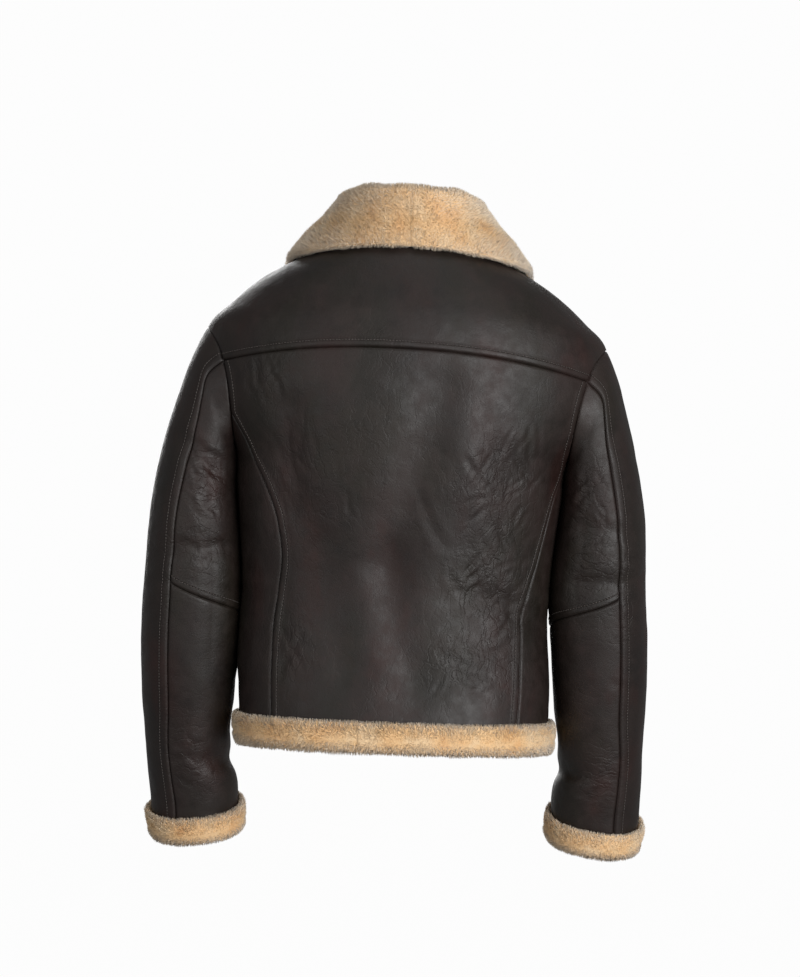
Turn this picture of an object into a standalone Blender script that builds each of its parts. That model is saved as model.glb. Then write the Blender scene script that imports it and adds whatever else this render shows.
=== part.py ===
"""Cropped shearling leather jacket in the form it takes when worn, hollow and open at every edge.

The front faces -Y and the back faces +Y, +Z is up, and +X is the jacket's own left. The origin is the
middle of the neck opening at the height of the nape seam. Sizes are in millimetres until the last
step, which turns them into metres.

Every panel is a wall that follows one shared surface, so panels that meet share their seam points
and the direction that their thickness runs in, and each stops half a seam gap short of the seam.
"""
import math

import bmesh
import bpy
import numpy as np
from mathutils import Matrix, Vector
from mathutils.kdtree import KDTree

MM = 0.001

# Thicknesses and gaps
WALL = 7.0
SEAM_GAP = 0.3
# A seam's two rims split each step along the same diagonal, from the end that comes first this way
RIM_ORDER = (0.37, 0.21, 1.0)
COLLAR_WALL = 12.0
TAPE_WALL = 1.4

# Torso rings, from the lower edge of the wool hem up to the neckline
# back height, side height, front height, half width, back depth, front depth, squareness
TORSO_RINGS = [
    (-625.0, -625.0, -625.0, 186.0, 129.0, 133.0, 2.40),
    (-586.0, -586.0, -586.0, 185.7, 128.0, 132.5, 2.40),
    (-540.0, -540.0, -540.0, 186.5, 125.0, 133.0, 2.40),
    (-490.0, -490.0, -490.0, 184.0, 122.0, 133.5, 2.40),
    (-435.0, -435.0, -435.0, 181.5, 121.0, 135.0, 2.40),
    (-390.0, -390.0, -390.0, 184.0, 126.0, 138.0, 2.40),
    (-345.0, -345.0, -345.0, 189.5, 133.0, 142.0, 2.40),
    (-310.0, -311.0, -313.0, 193.7, 139.0, 145.0, 2.40),
    (-274.0, -278.0, -287.0, 196.5, 144.0, 147.0, 2.35),
    (-232.0, -243.0, -263.0, 219.0, 148.0, 148.0, 2.30),
    (-188.0, -210.0, -237.0, 237.0, 149.0, 146.0, 2.25),
    (-144.6, -177.3, -212.0, 243.0, 147.5, 141.0, 2.20),
    (-108.0, -128.0, -182.0, 239.25, 142.0, 133.0, 2.20),
    (-84.0, -98.0, -160.0, 212.0, 135.0, 124.5, 2.20),
    (-62.0, -71.0, -139.0, 182.0, 126.0, 114.0, 2.15),
    (-41.0, -48.0, -119.0, 147.0, 115.0, 101.5, 2.10),
    (-20.0, -29.0, -99.0, 111.0, 101.0, 87.0, 2.05),
    (0.0, -12.0, -78.0, 76.0, 86.0, 72.0, 2.00),
]
HEM = 1
ARMPIT = 8
PRINCESS_TOP = 9.3
YOKE = 11
SHOULDER_TIP = 12
NECK = 17

# The armhole leans out as it rises from the armpit, and flares near the shoulder tip
ARMPIT_X = 196.5
ARMPIT_Z = -278.0
ARMHOLE_HEIGHT = 150.0
ARMHOLE_LEAN = 0.135
ARMHOLE_FLARE = 0.15

# Curved back seams, at even steps of height: half distance from the centre on the left and right
PRINCESS_LOW_Z = -590.0
PRINCESS_STEP = 40.0
PRINCESS_ROWS = [
    (144.0, 145.0),
    (145.0, 148.0),
    (144.0, 149.0),
    (142.0, 150.0),
    (137.0, 154.0),
    (135.0, 164.0),
    (143.0, 173.0),
    (158.0, 182.0),
    (178.0, 193.0),
    (203.0, 203.0),
]

# Sleeve rings below the armhole, from the shoulder to the cuff seam
# outer x, outer z, inner x, inner z, middle y, back depth, front depth, lean, back seam clock
SLEEVE_SQUARENESS = 2.25
SLEEVE_RINGS = [
    (248.5, -147.0, 196.5, -283.0, 1.0, 78.0, 76.0, 0.0, 67.0),
    (259.0, -174.0, 196.3, -289.0, 1.0, 78.0, 77.0, 0.0, 73.0),
    (268.5, -206.0, 195.9, -298.0, 0.0, 78.0, 77.0, 0.0, 78.0),
    (281.0, -250.0, 195.2, -311.0, 0.0, 78.0, 77.0, 0.0, 80.0),
    (290.5, -295.0, 193.9, -331.0, 0.0, 78.0, 76.0, 0.0, 79.0),
    (297.0, -341.0, 191.8, -357.0, 0.0, 77.0, 74.0, 1.0, 76.0),
    (300.0, -390.0, 188.3, -395.0, -2.0, 75.0, 71.0, 2.0, 73.0),
    (302.0, -435.0, 186.2, -435.0, -5.0, 72.0, 67.0, 4.0, 71.0),
    (304.5, -480.0, 187.6, -478.0, -10.0, 69.0, 64.0, 6.0, 70.0),
    (305.0, -525.0, 190.4, -522.0, -17.0, 66.0, 62.0, 8.0, 70.0),
    (303.5, -570.0, 193.0, -566.0, -26.0, 63.0, 60.0, 10.0, 70.0),
    (301.0, -615.0, 199.0, -610.0, -36.0, 60.0, 58.0, 12.0, 69.0),
    (299.0, -655.0, 194.5, -648.0, -46.0, 58.0, 56.0, 13.0, 68.0),
    (297.0, -685.0, 190.5, -676.0, -53.0, 56.0, 55.0, 14.0, 68.0),
    (296.0, -708.0, 190.5, -697.0, -58.0, 55.0, 54.0, 15.0, 68.0),
]
CUFF = 15
FRONT_SEAM_CLOCK = 255.0
ELBOW_RING_BACK = 7.75
ELBOW_RING_FRONT = 9.2

# Collar, from the centre front round to the centre back of one side
# neck angle, stand height, spread, edge angle, edge level, hollow of the fall
COLLAR_ROWS = [
    (4.4, 15.0, 10.0, 36.0, 12.9, 0.0),
    (18.7, 19.0, 6.0, 41.0, 13.0, 0.0),
    (33.0, 24.0, 3.0, 47.0, 13.3, 0.0),
    (47.0, 29.0, 1.0, 55.0, 13.8, 1.0),
    (61.5, 35.0, 0.0, 65.0, 14.35, 3.0),
    (76.0, 40.0, 0.0, 77.0, 14.9, 6.0),
    (90.0, 43.0, 0.0, 90.0, 15.25, 7.0),
    (115.0, 45.0, 0.0, 112.0, 15.4, 6.0),
    (140.0, 45.0, 0.0, 138.0, 15.6, 4.0),
    (160.0, 42.0, 0.0, 159.0, 15.7, 2.0),
    (180.0, 40.0, 0.0, 180.0, 15.72, 2.0),
]
# Wall thickness at each point of a column, from the neck seam to the fall's edge
COLLAR_THICKNESS = [WALL, 10.0, COLLAR_WALL, COLLAR_WALL, COLLAR_WALL, COLLAR_WALL, COLLAR_WALL,
                    COLLAR_WALL, COLLAR_WALL, 9.0]
COLLAR_FOLD_RADIUS = 2.5
COLLAR_FOLD_TURNS = (180, 135, 90, 45, 0)
COLLAR_FALL_PARTS = (0.33, 0.67)
COLLAR_EDGE_LIFT = 2.5
LEVEL_STEP = 0.05

# Wool bands turned up over a leather edge: distance out from the leather, distance past its edge
HEM_PROFILE = [
    (-7.0, 1.1), (1.2, 0.4), (1.8, -6.0), (5.5, -7.0), (9.0, -2.5), (10.0, 8.0),
    (9.6, 20.0), (7.0, 31.0), (1.0, 36.0), (-4.5, 33.0), (-7.0, 26.0),
]
HEM_SEAM_X = 43.0
CUFF_PROFILE = [
    (-7.0, 1.1), (1.2, 0.4), (1.8, -6.0), (5.5, -7.0), (8.6, -2.0), (9.4, 8.0),
    (8.8, 20.0), (6.0, 29.0), (0.0, 33.0), (-4.5, 31.0), (-7.0, 24.0),
]

# Largest folds: facing, first place, its height, second place, its height, half width, depth
# Places are x on the back and front, and a negative depth is a ridge
FOLDS = [
    ("back", 135.0, -225.0, 122.0, -335.0, 24.0, 4.0),
    ("back", -45.0, -185.0, 8.0, -400.0, 30.0, 5.0),
    ("back", 8.0, -400.0, -25.0, -540.0, 28.0, 3.5),
    ("back", -75.0, -250.0, -120.0, -410.0, 26.0, -3.0),
    ("back", -100.0, -430.0, -165.0, -462.0, 14.0, 3.5),
    ("back", 90.0, -380.0, 60.0, -520.0, 24.0, 3.5),
    ("back", 262.0, -262.0, 220.0, -296.0, 13.0, 4.0),
    ("back", 262.0, -392.0, 205.0, -386.0, 13.0, 3.5),
    ("back", -222.0, -345.0, -292.0, -352.0, 13.0, 3.0),
    ("back", -225.0, -412.0, -302.0, -410.0, 12.0, 3.5),
    ("front", 75.0, -290.0, 55.0, -500.0, 26.0, 4.0),
    ("front", -80.0, -290.0, -60.0, -500.0, 26.0, 4.0),
    ("front", 165.0, -430.0, 95.0, -470.0, 16.0, 3.5),
    ("front", -165.0, -425.0, -100.0, -470.0, 16.0, 3.5),
    ("front", 262.0, -400.0, 205.0, -420.0, 14.0, 4.0),
    ("front", -262.0, -395.0, -205.0, -415.0, 14.0, 4.0),
    ("inner", 20.0, -642.0, -90.0, -642.0, 12.0, 5.0),
]

# Stance: how far the jacket sways towards its own right at each height, and its shoulder lift
SWAY_ROWS = [(-750.0, 6.0), (-700.0, 5.0), (-650.0, 2.5), (-580.0, -0.5), (-500.0, -2.5),
             (-430.0, -4.0), (-340.0, -3.5), (-250.0, -2.5), (-120.0, 0.0), (60.0, 0.0)]
LEFT_SHOULDER_LIFT = 0.024
LIFT_FULL_Z = -200.0
LIFT_NONE_Z = -500.0

# Cells along each seam
CELLS_BACK = 20
CELLS_SIDE = 6
CELLS_BODY = 12
CELLS_ARM_TOP = 4
CELLS_ARM_BACK = 4
CELLS_ARM_FRONT = 12
CELLS_SHOULDER = 4
CELLS_FRONT = 8
CELLS_UNDER_FRONT = round((FRONT_SEAM_CLOCK - 180) / 180 * CELLS_ARM_FRONT)
CELLS_SLEEVE_UPPER = 8
CELLS_SLEEVE_LOWER = 7
CELLS_TAPE = 29
SAME_PLACE = 0.002
SHARP_ANGLE = 50

# Zip: half of the slot between the fronts, tape set-back, slider place and sizes
SLOT_HALF = 5.5
TAPE_SET_BACK = 1.5
TAPE_START_LEVEL = 0.1
SLIDER_LEVEL = 16.45
SLIDER_SEAT = 0.35
SLIDER_TOP = 2.4
# Half of the slider body's outline, seen from the front: across and up from its seat
SLIDER_OUTLINE = [(4.2, 5.4), (4.6, 4.6), (4.6, 1.0), (3.2, -6.0), (2.6, -6.6)]
EAR_HALF_GAP = 2.3
EAR_WIDTH = 1.2
EAR_FOOT = (2.4, 2.0)
EAR_SHOULDER = 2.0
EAR_HEAD = (1.0, 1.5)
PIN_HEIGHT = 4.6
PIN_RADIUS = 0.7
EYE_RADIUS = 2.2
EYE_BORE = 1.05
EYE_SIDE_GAP = 0.35
PULL_LENGTH = 27.0
PULL_HALF_WIDTH = 3.5
PULL_THICKNESS = 1.5
PULL_NECK_TOP = -1.6
PULL_NECK_END = -7.0
PULL_SHOULDER = -10.0
PULL_CORNER = 2.0
PULL_REST_TILT = 5.0

# Colour, roughness and metallic value of each material
MATERIALS = {
    "brown nappa leather": ((0.036, 0.024, 0.020), 0.45, 0.0),
    "cream sheared wool": ((0.680, 0.500, 0.310), 0.95, 0.0),
    "brown zip tape": ((0.030, 0.022, 0.018), 0.85, 0.0),
    "aged brass": ((0.520, 0.360, 0.150), 0.35, 1.0),
}


def smooth_between(before, start, end, after, t):
    """Point at t on the curve from start to end whose slope follows the neighbours on each side."""
    return 0.5 * (2 * start + (end - before) * t
                  + (2 * before - 5 * start + 4 * end - after) * t ** 2
                  + (3 * start - before - 3 * end + after) * t ** 3)


def with_end_rows(rows):
    """The rows with one more straight on at each end, so that the curve has a slope there."""
    rows = np.asarray(rows, float)
    return np.concatenate([[2 * rows[0] - rows[1]], rows, [2 * rows[-1] - rows[-2]]])


def smooth_rows(table, position):
    """A table's columns at fractional row positions, on a smooth curve through every row."""
    rows = with_end_rows(table)
    place = np.clip(np.asarray(position, float), 0, len(rows) - 3)
    low = np.minimum(place.astype(int), len(rows) - 4)
    t = (place - low)[..., None]
    return smooth_between(rows[low], rows[low + 1], rows[low + 2], rows[low + 3], t)


def rounded_radius(across, along, width, depth, squareness):
    """Distance from the centre of a rounded loop to its edge, towards the direction (across, along)."""
    total = np.abs(across / width) ** squareness + np.abs(along / depth) ** squareness
    return total ** (-1 / squareness)


def torso_points(angle, level):
    """The torso's outer face: angle 0 is the centre front, 90 the left side, 180 the centre back."""
    row = np.moveaxis(smooth_rows(TORSO_RINGS, level), -1, 0)
    back_z, side_z, front_z, half_width, back_depth, front_depth, squareness = row
    turn = np.radians(angle)
    across, along = np.sin(turn), -np.cos(turn)
    depth = np.where(along > 0, back_depth, front_depth)
    radius = rounded_radius(across, along, half_width, depth, squareness)
    x, y = radius * across, radius * along
    end_z = np.where(along > 0, back_z, front_z)
    return np.stack([x, y, side_z + (end_z - side_z) * (y / depth) ** 2], -1)


def angle_at_limit(level, facing, limit_x):
    """Angle where a torso ring's x falls to limit_x(z), on the back half (facing 1) or front (-1)."""
    inside = np.full(np.shape(level), 90.0 + 90.0 * facing)
    outside = np.full(np.shape(level), 90.0)
    for _ in range(40):
        middle = (inside + outside) / 2
        x, _, z = np.moveaxis(torso_points(middle, level), -1, 0)
        beyond = x > limit_x(z)
        outside = np.where(beyond, middle, outside)
        inside = np.where(beyond, inside, middle)
    return outside


def armhole_x(z):
    """Half width of the shoulders at the armhole seam, at height z."""
    rise = z - ARMPIT_Z
    return ARMPIT_X + rise * (ARMHOLE_LEAN + ARMHOLE_FLARE * (rise / ARMHOLE_HEIGHT) ** 4)


def princess_x(side):
    """Function of height that gives a curved back seam's distance from the centre."""
    column = [row[0] if side > 0 else row[1] for row in PRINCESS_ROWS]

    def at_height(z):
        return smooth_rows([(value,) for value in column], (z - PRINCESS_LOW_Z) / PRINCESS_STEP)[..., 0]
    return at_height


def armhole_place(clock):
    """Torso angle and level at a clock place on the left armhole: 0 top, 90 back, 180 armpit."""
    clock = np.mod(np.asarray(clock, float), 360)
    drop = (1 - np.cos(np.radians(clock))) / 2
    level = SHOULDER_TIP - (SHOULDER_TIP - ARMPIT) * drop
    back = angle_at_limit(level, 1, armhole_x)
    front = angle_at_limit(level, -1, armhole_x)
    return np.where(clock <= 180, back, front), level


def armhole_clock(level):
    """Clock place of a torso level on the back half of the armhole."""
    return math.degrees(math.acos(1 - 2 * (SHOULDER_TIP - level) / (SHOULDER_TIP - ARMPIT)))


def sleeve_ring(clock, row):
    """One sleeve ring: from its outer point (clock 0) over the back to its inner point (180)."""
    outer_x, outer_z, inner_x, inner_z, middle_y, back_depth, front_depth, lean, _ = row
    centre = np.array([(outer_x + inner_x) / 2, middle_y, (outer_z + inner_z) / 2])
    across = np.array([outer_x - inner_x, 0.0, outer_z - inner_z]) / 2
    width = np.linalg.norm(across)
    rear = np.array([0.0, math.cos(math.radians(lean)), -math.sin(math.radians(lean))])
    turn = np.radians(clock)
    side, along = np.cos(turn), np.sin(turn)
    depth = np.where(along > 0, back_depth, front_depth)
    radius = rounded_radius(side, along, width, depth, SLEEVE_SQUARENESS)
    return centre + (radius * side)[..., None] * across / width + (radius * along)[..., None] * rear


def sleeve_points(clock, ring):
    """The left sleeve's outer face: ring 0 is the armhole seam and ring 15 the cuff seam."""
    clock, ring = np.broadcast_arrays(np.asarray(clock, float), np.asarray(ring, float))
    flat_clock, flat_ring = clock.ravel(), ring.ravel()
    rings = [torso_points(*armhole_place(flat_clock))]
    rings += [sleeve_ring(flat_clock, row) for row in SLEEVE_RINGS]
    rings = with_end_rows(rings)
    low = np.clip(flat_ring.astype(int), 0, CUFF - 1)
    pick = np.arange(len(flat_clock))
    t = (flat_ring - low)[:, None]
    points = smooth_between(rings[low, pick], rings[low + 1, pick], rings[low + 2, pick],
                            rings[low + 3, pick], t)
    return points.reshape(clock.shape + (3,))


def back_seam_clock(ring):
    """Clock place of the sleeve's back seam at each ring."""
    rows = [(armhole_clock(YOKE),)] + [(row[8],) for row in SLEEVE_RINGS]
    return smooth_rows(rows, ring)[..., 0]


def places(first, second):
    """Pairs of surface places, from two lists or a list and a single value."""
    return np.stack(np.broadcast_arrays(np.asarray(first, float), np.asarray(second, float)), -1)


def patch(bottom, top, left, right):
    """Grid of surface places that fills the four seam lines round a panel."""
    s = np.linspace(0, 1, len(bottom))[None, :, None]
    t = np.linspace(0, 1, len(left))[:, None, None]
    ruled = (1 - t) * bottom + t * top + (1 - s) * left[:, None] + s * right[:, None]
    corners = (1 - t) * ((1 - s) * bottom[0] + s * bottom[-1]) + t * ((1 - s) * top[0] + s * top[-1])
    return ruled - corners


def joined(*lines):
    """Lines end to end, with the point that two of them share kept once."""
    return np.concatenate([lines[0]] + [line[1:] for line in lines[1:]])


def slot_angle(level, half_gap):
    """Angle where a front edge runs, half_gap from the centre front."""
    front_depth = smooth_rows(TORSO_RINGS, level)[..., 5]
    return np.degrees(np.arctan2(half_gap, front_depth))


def torso_seams(side):
    """Places of every seam on one side of the torso, as (angle, level) lines on the left side."""
    body = np.linspace(HEM, ARMPIT, CELLS_BODY + 1)
    side_seam = places(np.interp(body, [HEM, ARMPIT], [86.0, 90.0]), body)
    rising = np.linspace(HEM, PRINCESS_TOP, CELLS_BODY + 1)
    princess_angle = angle_at_limit(rising, 1, princess_x(side))
    top_clock = armhole_clock(PRINCESS_TOP)
    yoke_clock = armhole_clock(YOKE)
    under = places(*armhole_place(np.linspace(180, top_clock, CELLS_SIDE + 1)))
    princess_angle[-1] = under[-1, 0]
    shoulder = np.linspace(SHOULDER_TIP, NECK, CELLS_SHOULDER + 1)
    zip_levels = np.linspace(HEM, NECK, CELLS_BODY + CELLS_ARM_FRONT + CELLS_SHOULDER + 1)
    neck_start = float(slot_angle(np.array(float(NECK)), SLOT_HALF))
    return {
        "side": side_seam,
        "princess": places(princess_angle, rising),
        "arm under": under,
        "arm back": places(*armhole_place(np.linspace(top_clock, yoke_clock, CELLS_ARM_BACK + 1))),
        "arm top": places(*armhole_place(np.linspace(yoke_clock, 0, CELLS_ARM_TOP + 1))),
        "arm front": places(*armhole_place(np.linspace(180, 360, CELLS_ARM_FRONT + 1))),
        "shoulder": places(90.0, shoulder),
        "neck front": places(np.linspace(neck_start, 90, CELLS_FRONT + 1), NECK),
        "zip": places(slot_angle(zip_levels, SLOT_HALF), zip_levels),
    }


def mirrored(line):
    """A line of torso places on the other side of the body."""
    return line * [-1, 1] + [360, 0]


def hem_line(start, end, cells):
    """Even steps of angle along the hem between two seams."""
    return places(np.linspace(start[0][0], end[0][0], cells + 1), HEM)


def torso_patches():
    """Grids of torso places by panel name, with angle rising along each row and level up each column."""
    seams = {1: torso_seams(1), -1: torso_seams(-1)}
    left, right = seams[1], {name: mirrored(line) for name, line in seams[-1].items()}
    yoke_line = places(np.linspace(left["arm back"][-1][0], right["arm back"][-1][0], CELLS_BACK + 1), YOKE)
    neck_back = places(np.linspace(90, 270, CELLS_BACK + 1), NECK)
    patches = {
        "back_panel": patch(hem_line(left["princess"], right["princess"], CELLS_BACK), yoke_line,
                            joined(left["princess"], left["arm back"]),
                            joined(right["princess"], right["arm back"])),
        "back_yoke": patch(yoke_line, neck_back, joined(left["arm top"], left["shoulder"]),
                           joined(right["arm top"], right["shoulder"])),
    }
    for name, side in (("left", 1), ("right", -1)):
        own = seams[side]
        side_panel = patch(hem_line(own["side"], own["princess"], CELLS_SIDE), own["arm under"],
                           own["side"], own["princess"])
        front = patch(hem_line(own["zip"], own["side"], CELLS_FRONT), own["neck front"], own["zip"],
                      joined(own["side"], own["arm front"], own["shoulder"]))
        if side < 0:
            side_panel, front = mirrored(side_panel)[:, ::-1], mirrored(front)[:, ::-1]
        patches["side_panel_" + name] = side_panel
        patches["front_" + name] = front
    return patches


def elbow_line():
    """The slanting elbow seam, from the back seam under the arm to the front seam."""
    start = float(back_seam_clock(np.array(ELBOW_RING_BACK)))
    part = np.linspace(0, 1, CELLS_ARM_BACK + CELLS_SIDE + CELLS_UNDER_FRONT + 1)
    clock = start + (FRONT_SEAM_CLOCK - start) * part
    return places(clock, ELBOW_RING_BACK + (ELBOW_RING_FRONT - ELBOW_RING_BACK) * part ** 0.75)


def sleeve_patches():
    """Grids of sleeve places by panel name, with clock rising along each row and ring down the arm."""
    yoke_clock, top_clock = armhole_clock(YOKE), armhole_clock(PRINCESS_TOP)
    front_part = np.linspace(180, 360, CELLS_ARM_FRONT + 1)
    under_front = front_part[front_part <= FRONT_SEAM_CLOCK]
    outer_front = front_part[front_part >= FRONT_SEAM_CLOCK] - 360
    armhole_outer = joined(outer_front, np.linspace(0, yoke_clock, CELLS_ARM_TOP + 1))
    armhole_under = joined(np.linspace(yoke_clock, top_clock, CELLS_ARM_BACK + 1),
                           np.linspace(top_clock, 180, CELLS_SIDE + 1), under_front)
    upper_back = np.linspace(0, ELBOW_RING_BACK, CELLS_SLEEVE_UPPER + 1)
    lower_back = np.linspace(ELBOW_RING_BACK, CUFF, CELLS_SLEEVE_LOWER + 1)
    upper_front = np.linspace(0, ELBOW_RING_FRONT, CELLS_SLEEVE_UPPER + 1)
    lower_front = np.linspace(ELBOW_RING_FRONT, CUFF, CELLS_SLEEVE_LOWER + 1)
    back_rings, front_rings = joined(upper_back, lower_back), joined(upper_front, lower_front)
    cuff_clock = float(back_seam_clock(np.array(float(CUFF))))
    elbow = elbow_line()
    return {
        "outer_sleeve": patch(places(armhole_outer, 0),
                              places(np.linspace(FRONT_SEAM_CLOCK - 360, cuff_clock, len(armhole_outer)), CUFF),
                              places(FRONT_SEAM_CLOCK - 360, front_rings),
                              places(back_seam_clock(back_rings), back_rings)),
        "under_sleeve_upper": patch(places(armhole_under, 0), elbow,
                                    places(back_seam_clock(upper_back), upper_back),
                                    places(FRONT_SEAM_CLOCK, upper_front)),
        "under_sleeve_lower": patch(elbow, places(np.linspace(cuff_clock, FRONT_SEAM_CLOCK, len(elbow)), CUFF),
                                    places(back_seam_clock(lower_back), lower_back),
                                    places(FRONT_SEAM_CLOCK, lower_front)),
    }


def cell_normals(grid, hand):
    """Direction out of each grid point, longer where its cells are larger."""
    down, along = grid[1:, :-1] - grid[:-1, 1:], grid[1:, 1:] - grid[:-1, :-1]
    faces = np.cross(along, down) * hand
    total = np.zeros_like(grid)
    for row in (slice(None, -1), slice(1, None)):
        for column in (slice(None, -1), slice(1, None)):
            total[row, column] += faces
    return total


def shared_normals(grids, hands):
    """Unit direction out of every grid point, the same for all points that lie at one place."""
    names = list(grids)
    points = np.concatenate([grids[name].reshape(-1, 3) for name in names])
    totals = np.concatenate([cell_normals(grids[name], hands[name]).reshape(-1, 3) for name in names])
    tree = KDTree(len(points))
    for index, point in enumerate(points):
        tree.insert(point, index)
    tree.balance()
    summed = np.array([totals[[found[1] for found in tree.find_range(point, SAME_PLACE)]].sum(0)
                       for point in points])
    summed /= np.linalg.norm(summed, axis=1, keepdims=True)
    normals, start = {}, 0
    for name in names:
        count = grids[name].size // 3
        normals[name] = summed[start:start + count].reshape(grids[name].shape)
        start += count
    return normals


def fold_depth(points, normals):
    """How far the largest folds press each point in, from its nearest place on each fold's line."""
    depth = np.zeros(points.shape[:-1])
    side = np.sign(points[..., 0])
    facings = {"back": normals[..., 1], "front": -normals[..., 1], "inner": -normals[..., 0] * side}
    for facing, first, first_z, second, second_z, width, size in FOLDS:
        place = points[..., 1] if facing == "inner" else points[..., 0]
        start, run = np.array([first, first_z]), np.array([second - first, second_z - first_z])
        offset = np.stack([place, points[..., 2]], -1) - start
        part = np.clip((offset @ run) / (run @ run), 0, 1)
        distance = np.linalg.norm(offset - part[..., None] * run, axis=-1)
        depth += size * np.exp(-(distance / width) ** 2) * np.clip(1.6 * facings[facing], 0, 1)
    return depth


def stance(points):
    """The jacket as it stands in use: swayed a little sideways, with the left shoulder higher."""
    heights, sways = zip(*SWAY_ROWS)
    x, y, z = np.moveaxis(points, -1, 0)
    part = np.clip((z - LIFT_NONE_Z) / (LIFT_FULL_Z - LIFT_NONE_Z), 0, 1)
    lift = LEFT_SHOULDER_LIFT * x * part ** 2 * (3 - 2 * part)
    return np.stack([x - np.interp(z, heights, sways), y, z + lift], -1)


def edge_step(edge, inner, normals):
    """Half a seam gap from an edge towards the inner row, square to the edge and the wall."""
    along = np.gradient(edge, axis=0)
    step = np.cross(along, normals)
    step /= np.linalg.norm(step, axis=1, keepdims=True)
    toward = np.sum(step * (inner - edge), axis=1, keepdims=True)
    return step * np.where(toward < 0, -SEAM_GAP / 2, SEAM_GAP / 2)


def seam_inset(grid, normals):
    """How each point moves so that the grid stops half a seam gap short of its four edges."""
    move = np.zeros_like(grid)
    move[0] += edge_step(grid[0], grid[1], normals[0])
    move[-1] += edge_step(grid[-1], grid[-2], normals[-1])
    move[:, 0] += edge_step(grid[:, 0], grid[:, 1], normals[:, 0])
    move[:, -1] += edge_step(grid[:, -1], grid[:, -2], normals[:, -1])
    return move


def material(name):
    """A plain surface with one colour, roughness and metallic value."""
    found = bpy.data.materials.get(name)
    if found:
        return found
    colour, roughness, metallic = MATERIALS[name]
    made = bpy.data.materials.new(name)
    made.use_nodes = True
    shader = made.node_tree.nodes["Principled BSDF"]
    shader.inputs["Base Color"].default_value = (*colour, 1.0)
    shader.inputs["Roughness"].default_value = roughness
    shader.inputs["Metallic"].default_value = metallic
    return made


def add_object(name, mesh, material_name):
    """Put a mesh in the scene as a named object with its material."""
    mesh.materials.append(material(material_name))
    made = bpy.data.objects.new(name, mesh)
    bpy.context.scene.collection.objects.link(made)
    return made


def add_solid(name, points, faces, material_name):
    """A smooth-shaded closed solid in metres, from points in millimetres before the stance."""
    mesh = bpy.data.meshes.new(name)
    mesh.from_pydata((stance(points) * MM).tolist(), [], faces)
    shape = bmesh.new()
    shape.from_mesh(mesh)
    bmesh.ops.recalc_face_normals(shape, faces=shape.faces)
    shape.to_mesh(mesh)
    shape.free()
    mesh.shade_smooth()
    mesh.set_sharp_from_angle(angle=math.radians(SHARP_ANGLE))
    return add_object(name, mesh, material_name)


def grid_faces(rows, columns, start, wrap=False):
    """Four-sided faces of a grid of points, joined round to the first column if it wraps."""
    last = columns if wrap else columns - 1
    return [(start + r * columns + c, start + r * columns + (c + 1) % columns,
             start + (r + 1) * columns + (c + 1) % columns, start + (r + 1) * columns + c)
            for r in range(rows - 1) for c in range(last)]


def wall(name, outer, inner, material_name):
    """A closed wall between an outer and an inner grid of points."""
    rows, columns = outer.shape[:2]
    count = rows * columns
    faces = grid_faces(rows, columns, 0) + [face[::-1] for face in grid_faces(rows, columns, count)]
    border = [(0, c) for c in range(columns)] + [(r, columns - 1) for r in range(1, rows)]
    border += [(rows - 1, c) for c in range(columns - 2, -1, -1)] + [(r, 0) for r in range(rows - 2, 0, -1)]
    ring = [r * columns + c for r, c in border]
    points = np.concatenate([outer.reshape(-1, 3), inner.reshape(-1, 3)])
    order = points @ RIM_ORDER
    for a, b in zip(ring, ring[1:] + ring[:1]):
        if order[a] < order[b]:
            faces += [(a, a + count, b + count), (a, b + count, b)]
        else:
            faces += [(a, a + count, b), (b, a + count, b + count)]
    return add_solid(name, points, faces, material_name)


def collar_columns(angles):
    """Leather side of one collar half: a column of points per neck angle, from seam to fall edge."""
    table = np.array(COLLAR_ROWS)
    rows = smooth_rows(table[:, 1:], np.interp(angles, table[:, 0], np.arange(len(table))))
    height, spread, edge_angle, edge_level, hollow = rows.T
    base = torso_points(angles, np.full(len(angles), float(NECK)))
    out = base * [1, 1, 0]
    out /= np.linalg.norm(out, axis=1, keepdims=True)
    up = np.array([0.0, 0.0, 1.0])
    aside = np.stack([spread, np.zeros_like(spread), np.zeros_like(spread)], -1)
    radius = COLLAR_FOLD_RADIUS
    centre = base + up * (height - radius)[:, None] + out * radius + aside
    edge = torso_points(edge_angle, edge_level)
    over = edge - torso_points(edge_angle, edge_level + LEVEL_STEP)
    around = torso_points(edge_angle + 1, edge_level) - edge
    edge_out = np.cross(around, over)
    edge_out *= np.sign(np.sum(edge_out * out, axis=1, keepdims=True))
    edge_out /= np.linalg.norm(edge_out, axis=1, keepdims=True)
    edge = edge + edge_out * COLLAR_EDGE_LIFT
    column = [base, base + (centre - out * radius - base) * 0.5]
    for turn in np.radians(COLLAR_FOLD_TURNS):
        column.append(centre + radius * (math.cos(turn) * out + math.sin(turn) * up))
    top = column[-1]
    for part in COLLAR_FALL_PARTS:
        sag = hollow * math.sin(math.pi * part)
        column.append(top + (edge - top) * part - edge_out * sag[:, None])
    column.append(edge)
    return np.stack(column, 0)


def band_loop(profile, points, out, past):
    """A wool band's surface: its profile carried along an edge, one row of the grid for each point."""
    profile = np.array(profile)
    return points[:, None] + profile[None, :, :1] * out[:, None] + profile[None, :, 1:] * past


def add_band(name, surface, closed):
    """A wool band as a solid, joined into a ring if it is closed or capped at both ends if not."""
    rows, columns = surface.shape[:2]
    faces = grid_faces(rows, columns, 0, wrap=True)
    if closed:
        last = (rows - 1) * columns
        faces += [(last + c, last + (c + 1) % columns, (c + 1) % columns, c) for c in range(columns)]
    else:
        faces += [tuple(range(columns)), tuple((rows - 1) * columns + c for c in range(columns))]
    return add_solid(name, surface.reshape(-1, 3), faces, "cream sheared wool")


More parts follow.
